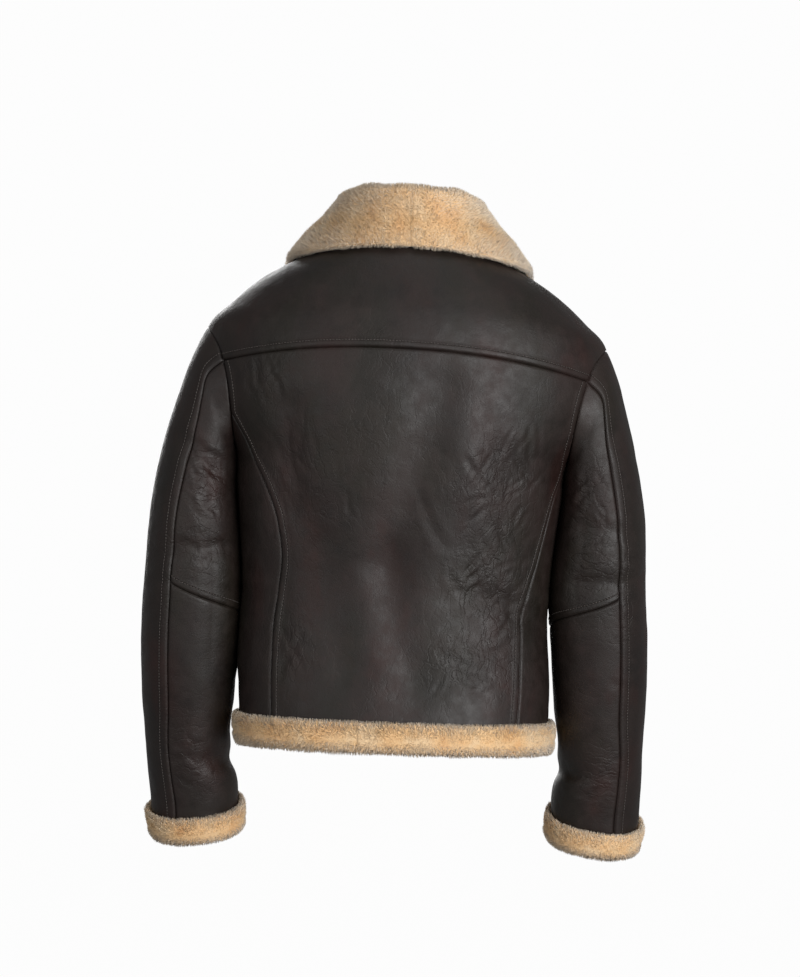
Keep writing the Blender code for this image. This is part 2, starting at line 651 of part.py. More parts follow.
def edge_directions(points, up, closed):
    """Level direction out of an edge line that runs round the body or arm."""
    if closed:
        along = np.roll(points, -1, axis=0) - np.roll(points, 1, axis=0)
    else:
        along = np.gradient(points, axis=0)
    out = np.cross(along, up)
    out /= np.linalg.norm(out, axis=1, keepdims=True)
    outward = np.sum(out * (points - points.mean(0)), axis=1, keepdims=True)
    return out * np.sign(outward)


def add_hem(patches):
    """The wool hem in two halves that meet at the centre front slot and at a seam on the back."""
    front, side, back = (patches[name][0, :, 0] for name in ("front_left", "side_panel_left", "back_panel"))
    far_side, far_front = patches["side_panel_right"][0, :, 0], patches["front_right"][0, :, 0]
    angles = joined(front, side, back, far_side, far_front)
    back_depth = smooth_rows(TORSO_RINGS, float(HEM))[4]
    seam = 180 - math.degrees(math.atan2(HEM_SEAM_X, back_depth))
    angles = np.sort(np.append(angles, seam))
    points = torso_points(angles, np.full(len(angles), float(HEM)))
    up = np.array([0.0, 0.0, 1.0])
    out = edge_directions(points, up, False)
    surface = band_loop(HEM_PROFILE, points, out, -up)
    split = int(np.searchsorted(angles, seam))
    along = surface[split + 1] - surface[split - 1]
    half = along / np.linalg.norm(along, axis=-1, keepdims=True) * SEAM_GAP / 2
    left, right = surface[:split + 1].copy(), surface[split:].copy()
    left[-1] -= half
    right[0] += half
    add_band("hem_band_left", left, False)
    add_band("hem_band_right", right, False)


def add_cuff(name, side, patches):
    """A wool cuff that continues the sleeve below the cuff seam."""
    clocks = joined(patches["outer_sleeve"][-1, :, 0], patches["under_sleeve_lower"][-1, :, 0])[:-1]
    points = sleeve_points(clocks, float(CUFF))
    across, rear = points[0] - points.mean(0), points[len(points) // 3] - points.mean(0)
    past = np.cross(across, rear)
    past /= np.linalg.norm(past) * -np.sign(past[2])
    out = edge_directions(points, past, True)
    surface = band_loop(CUFF_PROFILE, points, out, past)
    add_band(name, surface * [side, 1, 1], True)


def add_panels(torso, sleeve):
    """Every leather panel and both collar halves, as walls with shared seams."""
    grids = {name: torso_points(grid[..., 0], grid[..., 1]) for name, grid in torso.items()}
    hands = {name: 1 for name in grids}
    for name, side in (("left", 1), ("right", -1)):
        for panel, grid in sleeve.items():
            grids[panel + "_" + name] = sleeve_points(grid[..., 0], grid[..., 1]) * [side, 1, 1]
            hands[panel + "_" + name] = -side
    normals = shared_normals(grids, hands)
    for name in grids:
        grids[name] = grids[name] - normals[name] * fold_depth(grids[name], normals[name])[..., None]
    neck = joined(torso["front_left"][-1, :, 0], torso["back_yoke"][-1, :CELLS_BACK // 2 + 1, 0])
    for name, side in (("left", 1), ("right", -1)):
        grids["collar_" + name] = collar_columns(neck) * [side, 1, 1]
        hands["collar_" + name] = side
    normals = shared_normals(grids, hands)
    for name, grid in grids.items():
        wool = name.startswith("collar")
        thickness = np.array(COLLAR_THICKNESS)[:, None, None] if wool else WALL
        outer = grid + seam_inset(grid, normals[name])
        wall(name, outer, outer - normals[name] * thickness,
             "cream sheared wool" if wool else "brown nappa leather")


def add_zip_tapes():
    """Two strips of tape that close the slot between the fronts, from the hem to the neck."""
    levels = np.linspace(TAPE_START_LEVEL, NECK, CELLS_TAPE + 1)
    for name, side in (("left", 1), ("right", -1)):
        edges = [slot_angle(levels, gap) for gap in (SEAM_GAP / 2, SLOT_HALF - SEAM_GAP)]
        grid = torso_points(np.stack(edges, 1), np.repeat(levels[:, None], 2, 1))
        normals = cell_normals(grid, 1)
        normals /= np.linalg.norm(normals, axis=-1, keepdims=True)
        outer = grid - normals * TAPE_SET_BACK
        wall("zip_tape_" + name, outer * [side, 1, 1], (outer - normals * TAPE_WALL) * [side, 1, 1],
             "brown zip tape")


def zip_frame():
    """Place of the slider on the centre front: across, up along the zip, and out of the leather."""
    here, above = torso_points(np.zeros(2), np.array([SLIDER_LEVEL, SLIDER_LEVEL + 0.1]))
    up = Vector(above - here).normalized()
    across = Vector((1, 0, 0))
    out = across.cross(up)
    frame = Matrix((across, up, out)).transposed().to_4x4()
    frame.translation = Vector(here) * MM
    return frame


def prism(outline, low, high, axis="z"):
    """Solid with a flat outline, from low to high along the local z or x axis, in millimetres."""
    shape = bmesh.new()
    if axis == "z":
        ring = [shape.verts.new((a * MM, b * MM, low * MM)) for a, b in outline]
        push = Vector((0, 0, (high - low) * MM))
    else:
        ring = [shape.verts.new((low * MM, a * MM, b * MM)) for a, b in outline]
        push = Vector(((high - low) * MM, 0, 0))
    face = shape.faces.new(ring)
    grown = bmesh.ops.extrude_face_region(shape, geom=[face])
    verts = [item for item in grown["geom"] if isinstance(item, bmesh.types.BMVert)]
    bmesh.ops.translate(shape, verts=verts, vec=push)
    bmesh.ops.recalc_face_normals(shape, faces=shape.faces)
    mesh = bpy.data.meshes.new("prism")
    shape.to_mesh(mesh)
    shape.free()
    return mesh


def circle(radius, centre=(0.0, 0.0), sides=20):
    """Outline of a circle."""
    turns = [math.tau * i / sides for i in range(sides)]
    return [(centre[0] + radius * math.cos(t), centre[1] + radius * math.sin(t)) for t in turns]


def combine(name, first, others, operation, material_name, frame):
    """A mesh joined with, or cut by, others, placed in the frame and with the result kept as a mesh."""
    made = add_object(name, first, material_name)
    for mesh in others:
        tool = bpy.data.objects.new("tool", mesh)
        bpy.context.scene.collection.objects.link(tool)
        step = made.modifiers.new("combine", "BOOLEAN")
        step.object, step.operation, step.solver = tool, operation, "EXACT"
        bpy.context.view_layer.update()
        result = bpy.data.meshes.new_from_object(made.evaluated_get(bpy.context.evaluated_depsgraph_get()))
        made.modifiers.clear()
        made.data = result
        bpy.data.objects.remove(tool)
    made.matrix_world = frame
    return made


def add_slider(frame):
    """Slider body with two ears and the pin that the pull swings on."""
    body = SLIDER_OUTLINE + [(-across, up) for across, up in SLIDER_OUTLINE[::-1]]
    base = prism(body, SLIDER_SEAT - TAPE_SET_BACK, SLIDER_TOP)
    right = [EAR_FOOT, (EAR_SHOULDER, PIN_HEIGHT), (EAR_HEAD[0], PIN_HEIGHT + EAR_HEAD[1])]
    ear = [(-along, height) for along, height in right] + right[::-1]
    ears = [prism(ear, low, low + EAR_WIDTH, "x") for low in (EAR_HALF_GAP, -EAR_HALF_GAP - EAR_WIDTH)]
    reach = EAR_HALF_GAP + EAR_WIDTH / 2
    pin = prism(circle(PIN_RADIUS, (0.0, PIN_HEIGHT), 12), -reach, reach, "x")
    combine("zip_slider", base, ears + [pin], "UNION", "aged brass", frame)


def add_pull(frame):
    """Pull tab with its eye on the slider's pin, hanging down the zip. Its origin is on the pin's axis."""
    half = PULL_THICKNESS / 2
    inner = EAR_HALF_GAP - EYE_SIDE_GAP
    eye = prism(circle(EYE_RADIUS), -inner, inner, "x")
    right = [(inner, PULL_NECK_TOP), (inner, PULL_NECK_END), (PULL_HALF_WIDTH, PULL_SHOULDER),
             (PULL_HALF_WIDTH, PULL_CORNER - PULL_LENGTH), (PULL_CORNER, -PULL_LENGTH)]
    tab = right + [(-across, along) for across, along in right[::-1]]
    plate = prism(tab, -half, half)
    bore = prism(circle(EYE_BORE), -EAR_HALF_GAP, EAR_HALF_GAP, "x")
    pivot = frame @ Matrix.Translation((0, 0, PIN_HEIGHT * MM))
    rest = pivot @ Matrix.Rotation(math.radians(PULL_REST_TILT), 4, "X")
    pull = combine("zip_pull", eye, [plate], "UNION", "aged brass", rest)
    joined_mesh = pull.data
    bpy.data.objects.remove(pull)
    combine("zip_pull", joined_mesh, [bore], "DIFFERENCE", "aged brass", rest)


def clear_scene():
    """Remove whatever the file holds."""
    for old in list(bpy.data.objects):
        bpy.data.objects.remove(old)


def build():
    """Make the whole jacket."""
    clear_scene()
    torso, sleeve = torso_patches(), sleeve_patches()
    add_panels(torso, sleeve)
    add_hem(torso)
    for name, side in (("left", 1), ("right", -1)):
        add_cuff("cuff_" + name, side, sleeve)
    add_zip_tapes()
    frame = zip_frame()
    add_slider(frame)
    add_pull(frame)


build()
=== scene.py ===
"""Cropped shearling leather jacket: leather skins, seams, creases, sheared wool and zip."""
import math

import bmesh
import bpy
import numpy as np
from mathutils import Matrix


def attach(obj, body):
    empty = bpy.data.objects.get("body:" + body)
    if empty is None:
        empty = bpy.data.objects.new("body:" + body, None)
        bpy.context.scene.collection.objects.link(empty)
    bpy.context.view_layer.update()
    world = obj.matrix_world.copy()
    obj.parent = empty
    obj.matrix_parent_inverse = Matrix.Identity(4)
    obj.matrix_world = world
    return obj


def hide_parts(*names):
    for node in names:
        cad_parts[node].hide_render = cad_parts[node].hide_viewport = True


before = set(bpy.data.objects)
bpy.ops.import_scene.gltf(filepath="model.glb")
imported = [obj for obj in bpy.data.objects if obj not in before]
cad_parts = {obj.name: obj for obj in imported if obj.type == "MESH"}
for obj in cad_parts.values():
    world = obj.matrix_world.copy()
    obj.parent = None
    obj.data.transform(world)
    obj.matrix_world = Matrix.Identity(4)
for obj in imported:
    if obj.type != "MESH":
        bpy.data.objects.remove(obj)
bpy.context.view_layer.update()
rng = np.random.default_rng(20)

# Camera, backdrop and light
# The jacket is seen level from behind, a little rolled, against a pale seamless studio cove,
# under two broad soft panels on the camera's side, one above, and a soft even surround.
VIEW_DISTANCE = 4.5
VIEW_ROLL = math.radians(-2.0)
VIEW_X = 0.0024
VIEW_Z = -0.308
LENS_MM = 138.0
FLOOR_Z = -1.5
COVE_RADIUS = 9.0
COVE_HEIGHT = 7.0
SOFTBOXES = [
    # name, place, aim, width, height, watts
    ("key panel", (-2.3, 4.0, 0.0), (-0.08, 0.0, -0.40), 2.4, 2.6, 200.0),
    ("fill panel", (2.7, 3.8, 0.0), (0.0, 0.0, -0.40), 1.8, 2.4, 34.0),
    ("top panel", (-0.2, 1.0, 2.9), (0.0, 0.0, -0.30), 2.6, 1.8, 20.0),
    ("front panel", (0.6, -3.8, 0.8), (0.0, 0.0, -0.35), 2.4, 2.4, 110.0),
]


def linear(hex_colour):
    """Linear colour from an sRGB hex value: each part through the sRGB curve, and alpha 1."""
    parts = [int(hex_colour[i:i + 2], 16) / 255 for i in (1, 3, 5)]
    return [p / 12.92 if p <= 0.04045 else ((p + 0.055) / 1.055) ** 2.4 for p in parts] + [1.0]


def new_material(name):
    """A material with only an output and a Principled shader, as (node tree, shader)."""
    made = bpy.data.materials.new(name)
    made.use_nodes = True
    return made, made.node_tree, made.node_tree.nodes["Principled BSDF"]


def add_node(tree, kind, settings=(), **links):
    """One node: settings are its properties or socket values, links are sockets to plug into it."""
    node = tree.nodes.new(kind)
    for key, value in dict(settings).items():
        if isinstance(key, str) and hasattr(node, key):
            setattr(node, key, value)
        else:
            node.inputs[key].default_value = value
    for key, source in links.items():
        socket = int(key[1:]) if key[0] == "_" else key.replace("_", " ")
        tree.links.new(source, node.inputs[socket])
    return node


def ramp(tree, source, stops, interpolation="EASE"):
    """Colour ramp node: stops are (position, hex colour or grey value)."""
    node = add_node(tree, "ShaderNodeValToRGB", Fac=source)
    node.color_ramp.interpolation = interpolation
    while len(node.color_ramp.elements) < len(stops):
        node.color_ramp.elements.new(0.5)
    for element, (place, colour) in zip(node.color_ramp.elements, stops):
        element.position = place
        element.color = linear(colour) if isinstance(colour, str) else (colour, colour, colour, 1.0)
    return node.outputs["Color"]


def mesh_object(name, points, faces, materials, face_material=None, smooth=True):
    """An object in metres from points in millimetres, with faces given as rows of corner numbers."""
    mesh = bpy.data.meshes.new(name)
    corners = np.concatenate([f.ravel() for f in faces]).astype(np.int32)
    sizes = np.concatenate([np.full(len(f), f.shape[1]) for f in faces]).astype(np.int32)
    mesh.vertices.add(len(points))
    mesh.vertices.foreach_set("co", (np.asarray(points) * 0.001).astype(np.float32).ravel())
    mesh.loops.add(len(corners))
    mesh.loops.foreach_set("vertex_index", corners)
    mesh.polygons.add(len(sizes))
    mesh.polygons.foreach_set("loop_start", np.concatenate([[0], np.cumsum(sizes)[:-1]]).astype(np.int32))
    for material in materials:
        mesh.materials.append(material)
    if face_material is not None:
        mesh.polygons.foreach_set("material_index", face_material.astype(np.int32))
    mesh.polygons.foreach_set("use_smooth", np.full(len(sizes), smooth))
    mesh.update(calc_edges=True)
    mesh.validate()
    made = bpy.data.objects.new(name, mesh)
    bpy.context.scene.collection.objects.link(made)
    return made


def face_outwards(piece):
    """Turns the faces of closed shells so that all point out of the material."""
    shape = bmesh.new()
    shape.from_mesh(piece.data)
    bmesh.ops.recalc_face_normals(shape, faces=shape.faces)
    shape.to_mesh(piece.data)
    shape.free()


def grid_quads(rows, columns, start=0, wrap=False):
    """Four corner numbers for each cell of a grid of points, joined round its columns if it wraps."""
    number = start + np.arange(rows * columns).reshape(rows, columns)
    if wrap:
        number = np.concatenate([number, number[:, :1]], 1)
    return np.stack([number[:-1, :-1], number[:-1, 1:], number[1:, 1:], number[1:, :-1]], -1).reshape(-1, 4)


camera = bpy.data.objects.new("camera", bpy.data.cameras.new("camera"))
camera.data.lens = LENS_MM
camera.data.clip_end = 60.0
camera.location = (VIEW_X, VIEW_DISTANCE, VIEW_Z)
camera.rotation_euler = (math.radians(90), VIEW_ROLL, math.radians(180))
bpy.context.scene.collection.objects.link(camera)
bpy.context.scene.camera = camera

# The cove is a floor disc that rises through a quarter round into an upright wall
turn = np.radians(np.linspace(0, 90, 13))
cove_r = np.concatenate([[0.02, 3.0], COVE_RADIUS - 2 + 2 * np.sin(turn), [COVE_RADIUS]])
cove_z = np.concatenate([[0.0, 0.0], 2 - 2 * np.cos(turn), [COVE_HEIGHT]]) + FLOOR_Z
spin = np.linspace(0, math.tau, 97)[:-1]
cove = np.stack([cove_r[:, None] * np.cos(spin), cove_r[:, None] * np.sin(spin),
                 np.repeat(cove_z[:, None], 96, 1)], -1) * 1000
paper, tree, shader = new_material("pale studio paper")
shader.inputs["Base Color"].default_value = linear("#303030")
shader.inputs["Roughness"].default_value = 1.0
shader.inputs["Specular IOR Level"].default_value = 0.0
shader.inputs["Emission Color"].default_value = linear("#ffffff")
shader.inputs["Emission Strength"].default_value = 0.97
backdrop = mesh_object("backdrop", cove.reshape(-1, 3), [grid_quads(len(cove_r), 96, wrap=True)[:, ::-1]], [paper])
backdrop.visible_diffuse = False
backdrop.visible_glossy = False
backdrop.visible_shadow = False

for name, place, aim, width, height, watts in SOFTBOXES:
    lamp = bpy.data.lights.new(name, "AREA")
    lamp.shape, lamp.size, lamp.size_y, lamp.energy = "RECTANGLE", width, height, watts
    lamp_object = bpy.data.objects.new(name, lamp)
    lamp_object.location = place
    direction = np.array(aim) - np.array(place)
    lamp_object.rotation_euler = (math.acos(-direction[2] / np.linalg.norm(direction)), 0,
                                  math.atan2(direction[1], direction[0]) - math.pi / 2)
    bpy.context.scene.collection.objects.link(lamp_object)

world = bpy.data.worlds.new("studio surround")
world.use_nodes = True
world.node_tree.nodes["Background"].inputs["Color"].default_value = linear("#ffffff")
world.node_tree.nodes["Background"].inputs["Strength"].default_value = 0.24
bpy.context.scene.world = world
bpy.context.scene.view_settings.view_transform = "Standard"

# Leather panels
# Brown nappa sheepskin cut into twelve panels, about 1.2 mm thick with its clipped wool left on
# inside, and sewn edge to edge: each panel rolls down into its seams, beside a raised, topstitched
# edge. Lengths are millimetres. The surface is the jacket's own, as its solids have it.
WALL = 6.6
FINE = 10
INSIDE_STEP = 5
EDGE_STEPS = (0.15, 0.38, 0.68)
# back height, side height, front height, half width, back depth, front depth, squareness
TORSO_RINGS = [
    (-625.0, -625.0, -625.0, 186.0, 129.0, 133.0, 2.40),
    (-586.0, -586.0, -586.0, 185.7, 128.0, 132.5, 2.40),
    (-540.0, -540.0, -540.0, 186.5, 125.0, 133.0, 2.40),
    (-490.0, -490.0, -490.0, 184.0, 122.0, 133.5, 2.40),
    (-435.0, -435.0, -435.0, 181.5, 121.0, 135.0, 2.40),
    (-390.0, -390.0, -390.0, 184.0, 126.0, 138.0, 2.40),
    (-345.0, -345.0, -345.0, 189.5, 133.0, 142.0, 2.40),
    (-310.0, -311.0, -313.0, 193.7, 139.0, 145.0, 2.40),
    (-274.0, -278.0, -287.0, 196.5, 144.0, 147.0, 2.35),
    (-232.0, -243.0, -263.0, 219.0, 148.0, 148.0, 2.30),
    (-188.0, -210.0, -237.0, 237.0, 149.0, 146.0, 2.25),
    (-144.6, -177.3, -212.0, 243.0, 147.5, 141.0, 2.20),
    (-108.0, -128.0, -182.0, 239.25, 142.0, 133.0, 2.20),
    (-84.0, -98.0, -160.0, 212.0, 135.0, 124.5, 2.20),
    (-62.0, -71.0, -139.0, 182.0, 126.0, 114.0, 2.15),
    (-41.0, -48.0, -119.0, 147.0, 115.0, 101.5, 2.10),
    (-20.0, -29.0, -99.0, 111.0, 101.0, 87.0, 2.05),
    (0.0, -12.0, -78.0, 76.0, 86.0, 72.0, 2.00),
]
HEM, ARMPIT, PRINCESS_TOP, YOKE, SHOULDER_TIP, NECK = 1, 8, 9.3, 11, 12, 17
ARMPIT_X, ARMPIT_Z, ARMHOLE_HEIGHT, ARMHOLE_LEAN, ARMHOLE_FLARE = 196.5, -278.0, 150.0, 0.135, 0.15
PRINCESS_LOW_Z, PRINCESS_STEP = -590.0, 40.0
# least angle between a curved back seam and the armhole at the armpit's level, in degrees
PRINCESS_MARGIN = 3.0
# half distance of the curved back seams from the centre on the left and right, every 40 mm up
PRINCESS_ROWS = [(144.0, 145.0), (145.0, 148.0), (144.0, 149.0), (142.0, 150.0), (137.0, 154.0),
                 (135.0, 164.0), (143.0, 173.0), (158.0, 182.0), (178.0, 193.0), (203.0, 203.0)]
SLEEVE_SQUARENESS = 2.25
# outer x, outer z, inner x, inner z, middle y, back depth, front depth, lean, back seam clock
SLEEVE_RINGS = [
    (248.5, -147.0, 196.5, -283.0, 1.0, 78.0, 76.0, 0.0, 67.0),
    (259.0, -174.0, 196.3, -289.0, 1.0, 78.0, 77.0, 0.0, 73.0),
    (268.5, -206.0, 195.9, -298.0, 0.0, 78.0, 77.0, 0.0, 78.0),
    (281.0, -250.0, 195.2, -311.0, 0.0, 78.0, 77.0, 0.0, 80.0),
    (290.5, -295.0, 193.9, -331.0, 0.0, 78.0, 76.0, 0.0, 79.0),
    (297.0, -341.0, 191.8, -357.0, 0.0, 77.0, 74.0, 1.0, 76.0),
    (300.0, -390.0, 188.3, -395.0, -2.0, 75.0, 71.0, 2.0, 73.0),
    (302.0, -435.0, 186.2, -435.0, -5.0, 72.0, 67.0, 4.0, 71.0),
    (304.5, -480.0, 187.6, -478.0, -10.0, 69.0, 64.0, 6.0, 70.0),
    (305.0, -525.0, 190.4, -522.0, -17.0, 66.0, 62.0, 8.0, 70.0),
    (303.5, -570.0, 193.0, -566.0, -26.0, 63.0, 60.0, 10.0, 70.0),
    (301.0, -615.0, 199.0, -610.0, -36.0, 60.0, 58.0, 12.0, 69.0),
    (299.0, -655.0, 194.5, -648.0, -46.0, 58.0, 56.0, 13.0, 68.0),
    (297.0, -685.0, 190.5, -676.0, -53.0, 56.0, 55.0, 14.0, 68.0),
    (296.0, -708.0, 190.5, -697.0, -58.0, 55.0, 54.0, 15.0, 68.0),
]
CUFF, FRONT_SEAM_CLOCK, ELBOW_RING_BACK, ELBOW_RING_FRONT = 15, 255.0, 7.75, 9.2
# broad folds: facing, first place, its height, second place, its height, half width, depth
FOLDS = [
    ("back", 135.0, -225.0, 122.0, -335.0, 24.0, 4.0),
    ("back", -45.0, -185.0, 8.0, -400.0, 30.0, 5.0),
    ("back", 8.0, -400.0, -25.0, -540.0, 28.0, 3.5),
    ("back", -75.0, -250.0, -120.0, -410.0, 26.0, -3.0),
    ("back", -100.0, -430.0, -165.0, -462.0, 14.0, 3.5),
    ("back", 90.0, -380.0, 60.0, -520.0, 24.0, 3.5),
    ("back", 262.0, -262.0, 220.0, -296.0, 13.0, 4.0),
    ("back", 262.0, -392.0, 205.0, -386.0, 13.0, 3.5),
    ("back", -222.0, -345.0, -292.0, -352.0, 13.0, 3.0),
    ("back", -225.0, -412.0, -302.0, -410.0, 12.0, 3.5),
    ("front", 75.0, -290.0, 55.0, -500.0, 26.0, 4.0),
    ("front", -80.0, -290.0, -60.0, -500.0, 26.0, 4.0),
    ("front", 165.0, -430.0, 95.0, -470.0, 16.0, 3.5),
    ("front", -165.0, -425.0, -100.0, -470.0, 16.0, 3.5),
    ("front", 262.0, -400.0, 205.0, -420.0, 14.0, 4.0),
    ("front", -262.0, -395.0, -205.0, -415.0, 14.0, 4.0),
    ("inner", 20.0, -642.0, -90.0, -642.0, 12.0, 5.0),
]
SWAY_ROWS = [(-750.0, 6.0), (-700.0, 5.0), (-650.0, 2.5), (-580.0, -0.5), (-500.0, -2.5),
             (-430.0, -4.0), (-340.0, -3.5), (-250.0, -2.5), (-120.0, 0.0), (60.0, 0.0)]
LEFT_SHOULDER_LIFT, LIFT_FULL_Z, LIFT_NONE_Z = 0.024, -200.0, -500.0
SLOT_HALF = 5.5
SEAM_HALF_GAP = 0.15
# cells along each seam, before the fine division
CELLS_BACK, CELLS_SIDE, CELLS_BODY, CELLS_ARM_TOP, CELLS_ARM_BACK = 20, 6, 12, 4, 4
CELLS_ARM_FRONT, CELLS_SHOULDER, CELLS_FRONT, CELLS_SLEEVE_UPPER, CELLS_SLEEVE_LOWER = 12, 4, 8, 8, 7

# creases as seen from the side they face: facing, x1, z1, x2, z2, half width, depth, bow
CREASES = [
    # left of the back, from the shoulder blade down
    ("back", 175, -158, 167, -203, 3.0, 1.3, 3), ("back", 163, -160, 156, -200, 2.6, 1.1, -2),
    ("back", 150, -170, 146, -206, 2.6, 0.8, 2), ("back", 133, -232, 117, -318, 6.0, 1.8, 5),
    ("back", 118, -240, 108, -300, 4.0, 1.0, 4), ("back", 152, -250, 138, -300, 4.0, 1.0, -4),
    # small star above the left of the hem
    ("back", 118, -501, 138, -474, 3.4, 1.3, 2), ("back", 118, -501, 101, -478, 3.4, 1.2, -2),
    ("back", 118, -501, 131, -530, 3.4, 1.3, 2), ("back", 118, -501, 101, -527, 3.2, 1.0, 2),
    ("back", 136, -500, 150, -512, 3.0, 0.8, 1), ("back", 100, -500, 86, -508, 3.0, 0.7, 1),
    # right of the back: long slanting lines, then the bunching beside the curved seam
    ("back", -72, -263, -122, -320, 3.4, 1.5, 3), ("back", -84, -256, -130, -300, 3.0, 1.0, -3),
    ("back", -128, -253, -161, -298, 3.2, 1.5, 3), ("back", -118, -338, -131, -379, 3.2, 1.4, 2),
    ("back", -95, -354, -134, -407, 3.4, 1.4, 4), ("back", -104, -342, -138, -384, 3.0, 1.0, -3),
    ("back", -149, -226, -153, -279, 2.8, 1.1, 2), ("back", -158, -222, -161, -262, 2.6, 0.9, -2),
    ("back", -139, -458, -112, -414, 3.4, 1.6, 3), ("back", -139, -458, -117, -439, 3.0, 1.2, 2),
    ("back", -139, -458, -120, -473, 3.2, 1.3, -2), ("back", -139, -458, -131, -406, 3.0, 1.2, 3),
    ("back", -139, -458, -104, -452, 3.0, 1.0, 2), ("back", -48, -495, -120, -522, 5.0, 1.5, 6),
    ("back", -62, -478, -128, -500, 4.0, 1.0, 5), ("back", -82, -537, -112, -545, 3.0, 1.0, 2),
    ("back", -60, -400, -92, -440, 4.0, 0.9, 4), ("back", -20, -300, -60, -380, 5.0, 0.8, 5),
    # under the left arm
    ("back", 240, -276, 202, -292, 4.0, 2.0, -3), ("back", 247, -296, 221, -317, 3.2, 1.6, 2),
    ("back", 244, -311, 216, -333, 3.2, 1.6, 2), ("back", 238, -327, 208, -348, 3.2, 1.5, 2),
    ("back", 234, -290, 206, -308, 3.0, 1.2, 2), ("back", 246, -340, 222, -358, 3.0, 1.1, 2),
    ("back", 259, -381, 232, -393, 3.8, 1.9, -3), ("back", 232, -393, 195, -379, 3.8, 1.8, -3),
    ("back", 250, -368, 226, -374, 3.2, 1.1, 2), ("back", 252, -262, 226, -270, 3.2, 1.0, 2),
    # under the right arm
    ("back", -222, -283, -196, -320, 3.4, 1.7, 3), ("back", -232, -290, -208, -326, 3.0, 1.3, 3),
    ("back", -214, -362, -244, -357, 3.4, 1.6, 2), ("back", -213, -382, -243, -372, 3.6, 2.2, 3),
    ("back", -210, -411, -241, -405, 3.4, 1.4, 2), ("back", -226, -330, -204, -346, 3.0, 1.1, 2),
    ("back", -236, -392, -212, -396, 3.0, 1.2, 2), ("back", -204, -334, -196, -360, 3.0, 1.0, 2),
    # outer sleeves, beside the back seam and on the outer silhouette
    ("back", -262, -372, -296, -378, 4.0, 1.6, 3), ("back", -264, -398, -300, -404, 4.2, 1.8, 3),
    ("back", -262, -424, -300, -430, 4.0, 1.6, 3), ("back", -262, -448, -298, -452, 3.6, 1.2, 3),
    ("back", -258, -478, -282, -482, 3.4, 1.0, 2), ("back", -256, -530, -280, -533, 3.4, 1.0, 2),
    ("back", -252, -642, -276, -646, 3.6, 1.3, 2), ("back", 262, -398, 296, -404, 4.0, 1.3, 3),
    ("back", 262, -428, 298, -434, 4.0, 1.2, 3), ("back", 258, -540, 282, -544, 3.4, 1.0, 2),
    ("back", 236, -640, 272, -646, 3.6, 1.5, 3), ("back", 220, -622, 250, -630, 3.2, 1.0, 3),
    ("back", -206, -640, -236, -648, 3.6, 1.3, 3), ("back", -212, -662, -240, -668, 3.2, 1.0, 2),
    # hidden front, in sizes like those of the back
    ("front", 150, -250, 118, -330, 5.0, 1.6, 4), ("front", -150, -250, -122, -335, 5.0, 1.6, 4),
    ("front", 160, -430, 110, -470, 4.0, 1.5, 4), ("front", -162, -425, -112, -468, 4.0, 1.5, 4),
    ("front", 150, -450, 120, -500, 3.4, 1.2, 3), ("front", -148, -446, -118, -498, 3.4, 1.2, 3),
    ("front", 60, -500, 110, -540, 4.0, 1.1, 4), ("front", -60, -505, -108, -544, 4.0, 1.1, 4),
    ("front", 90, -200, 120, -255, 4.0, 1.0, 3), ("front", -92, -204, -118, -258, 4.0, 1.0, 3),
    ("front", 262, -380, 214, -388, 4.4, 2.2, 4), ("front", -262, -376, -214, -386, 4.4, 2.2, 4),
    ("front", 264, -402, 210, -412, 4.4, 2.2, 4), ("front", -264, -398, -212, -410, 4.4, 2.2, 4),
    ("front", 258, -424, 214, -434, 4.0, 1.6, 4), ("front", -258, -420, -214, -432, 4.0, 1.6, 4),
    ("front", 236, -280, 204, -306, 3.6, 1.4, 3), ("front", -236, -278, -204, -304, 3.6, 1.4, 3),
    ("front", 262, -640, 222, -648, 3.6, 1.3, 3), ("front", -262, -640, -222, -650, 3.6, 1.3, 3),
]
# fields of small creases: facing, x, z, half width, half height, slant in degrees, count, length, depth
CREASE_FIELDS = [
    ("back", -118, -300, 42, 60, -52, 34, 26, 0.7), ("back", -112, -430, 40, 50, -40, 42, 18, 0.8),
    ("back", -90, -510, 50, 30, -18, 22, 24, 0.7), ("back", 120, -500, 30, 30, 35, 22, 16, 0.6),
    ("back", 165, -185, 22, 30, 80, 14, 26, 0.6), ("back", 226, -315, 24, 34, 38, 26, 20, 0.8),
    ("back", -224, -305, 22, 34, 55, 18, 18, 0.8), ("back", -228, -390, 24, 36, -8, 20, 16, 0.8),
    ("back", 232, -390, 26, 30, 12, 14, 18, 0.7), ("back", 240, -640, 30, 30, 10, 16, 16, 0.7),
    ("back", -240, -645, 30, 30, -8, 16, 16, 0.7), ("back", -282, -420, 16, 60, -5, 18, 14, 0.8),
    ("back", 282, -430, 16, 60, 5, 12, 14, 0.6), ("back", 100, -300, 60, 70, 75, 18, 28, 0.4),
    ("front", 120, -450, 45, 50, 40, 28, 22, 0.7), ("front", -120, -448, 45, 50, -40, 28, 22, 0.7),
    ("front", 236, -400, 28, 40, 8, 26, 18, 0.9), ("front", -236, -398, 28, 40, -8, 26, 18, 0.9),
    ("front", 130, -260, 40, 50, 65, 16, 26, 0.5), ("front", -130, -262, 40, 50, -65, 16, 26, 0.5),
    ("front", 90, -560, 70, 20, 10, 14, 20, 0.6), ("front", -90, -558, 70, 20, -10, 14, 20, 0.6),
]
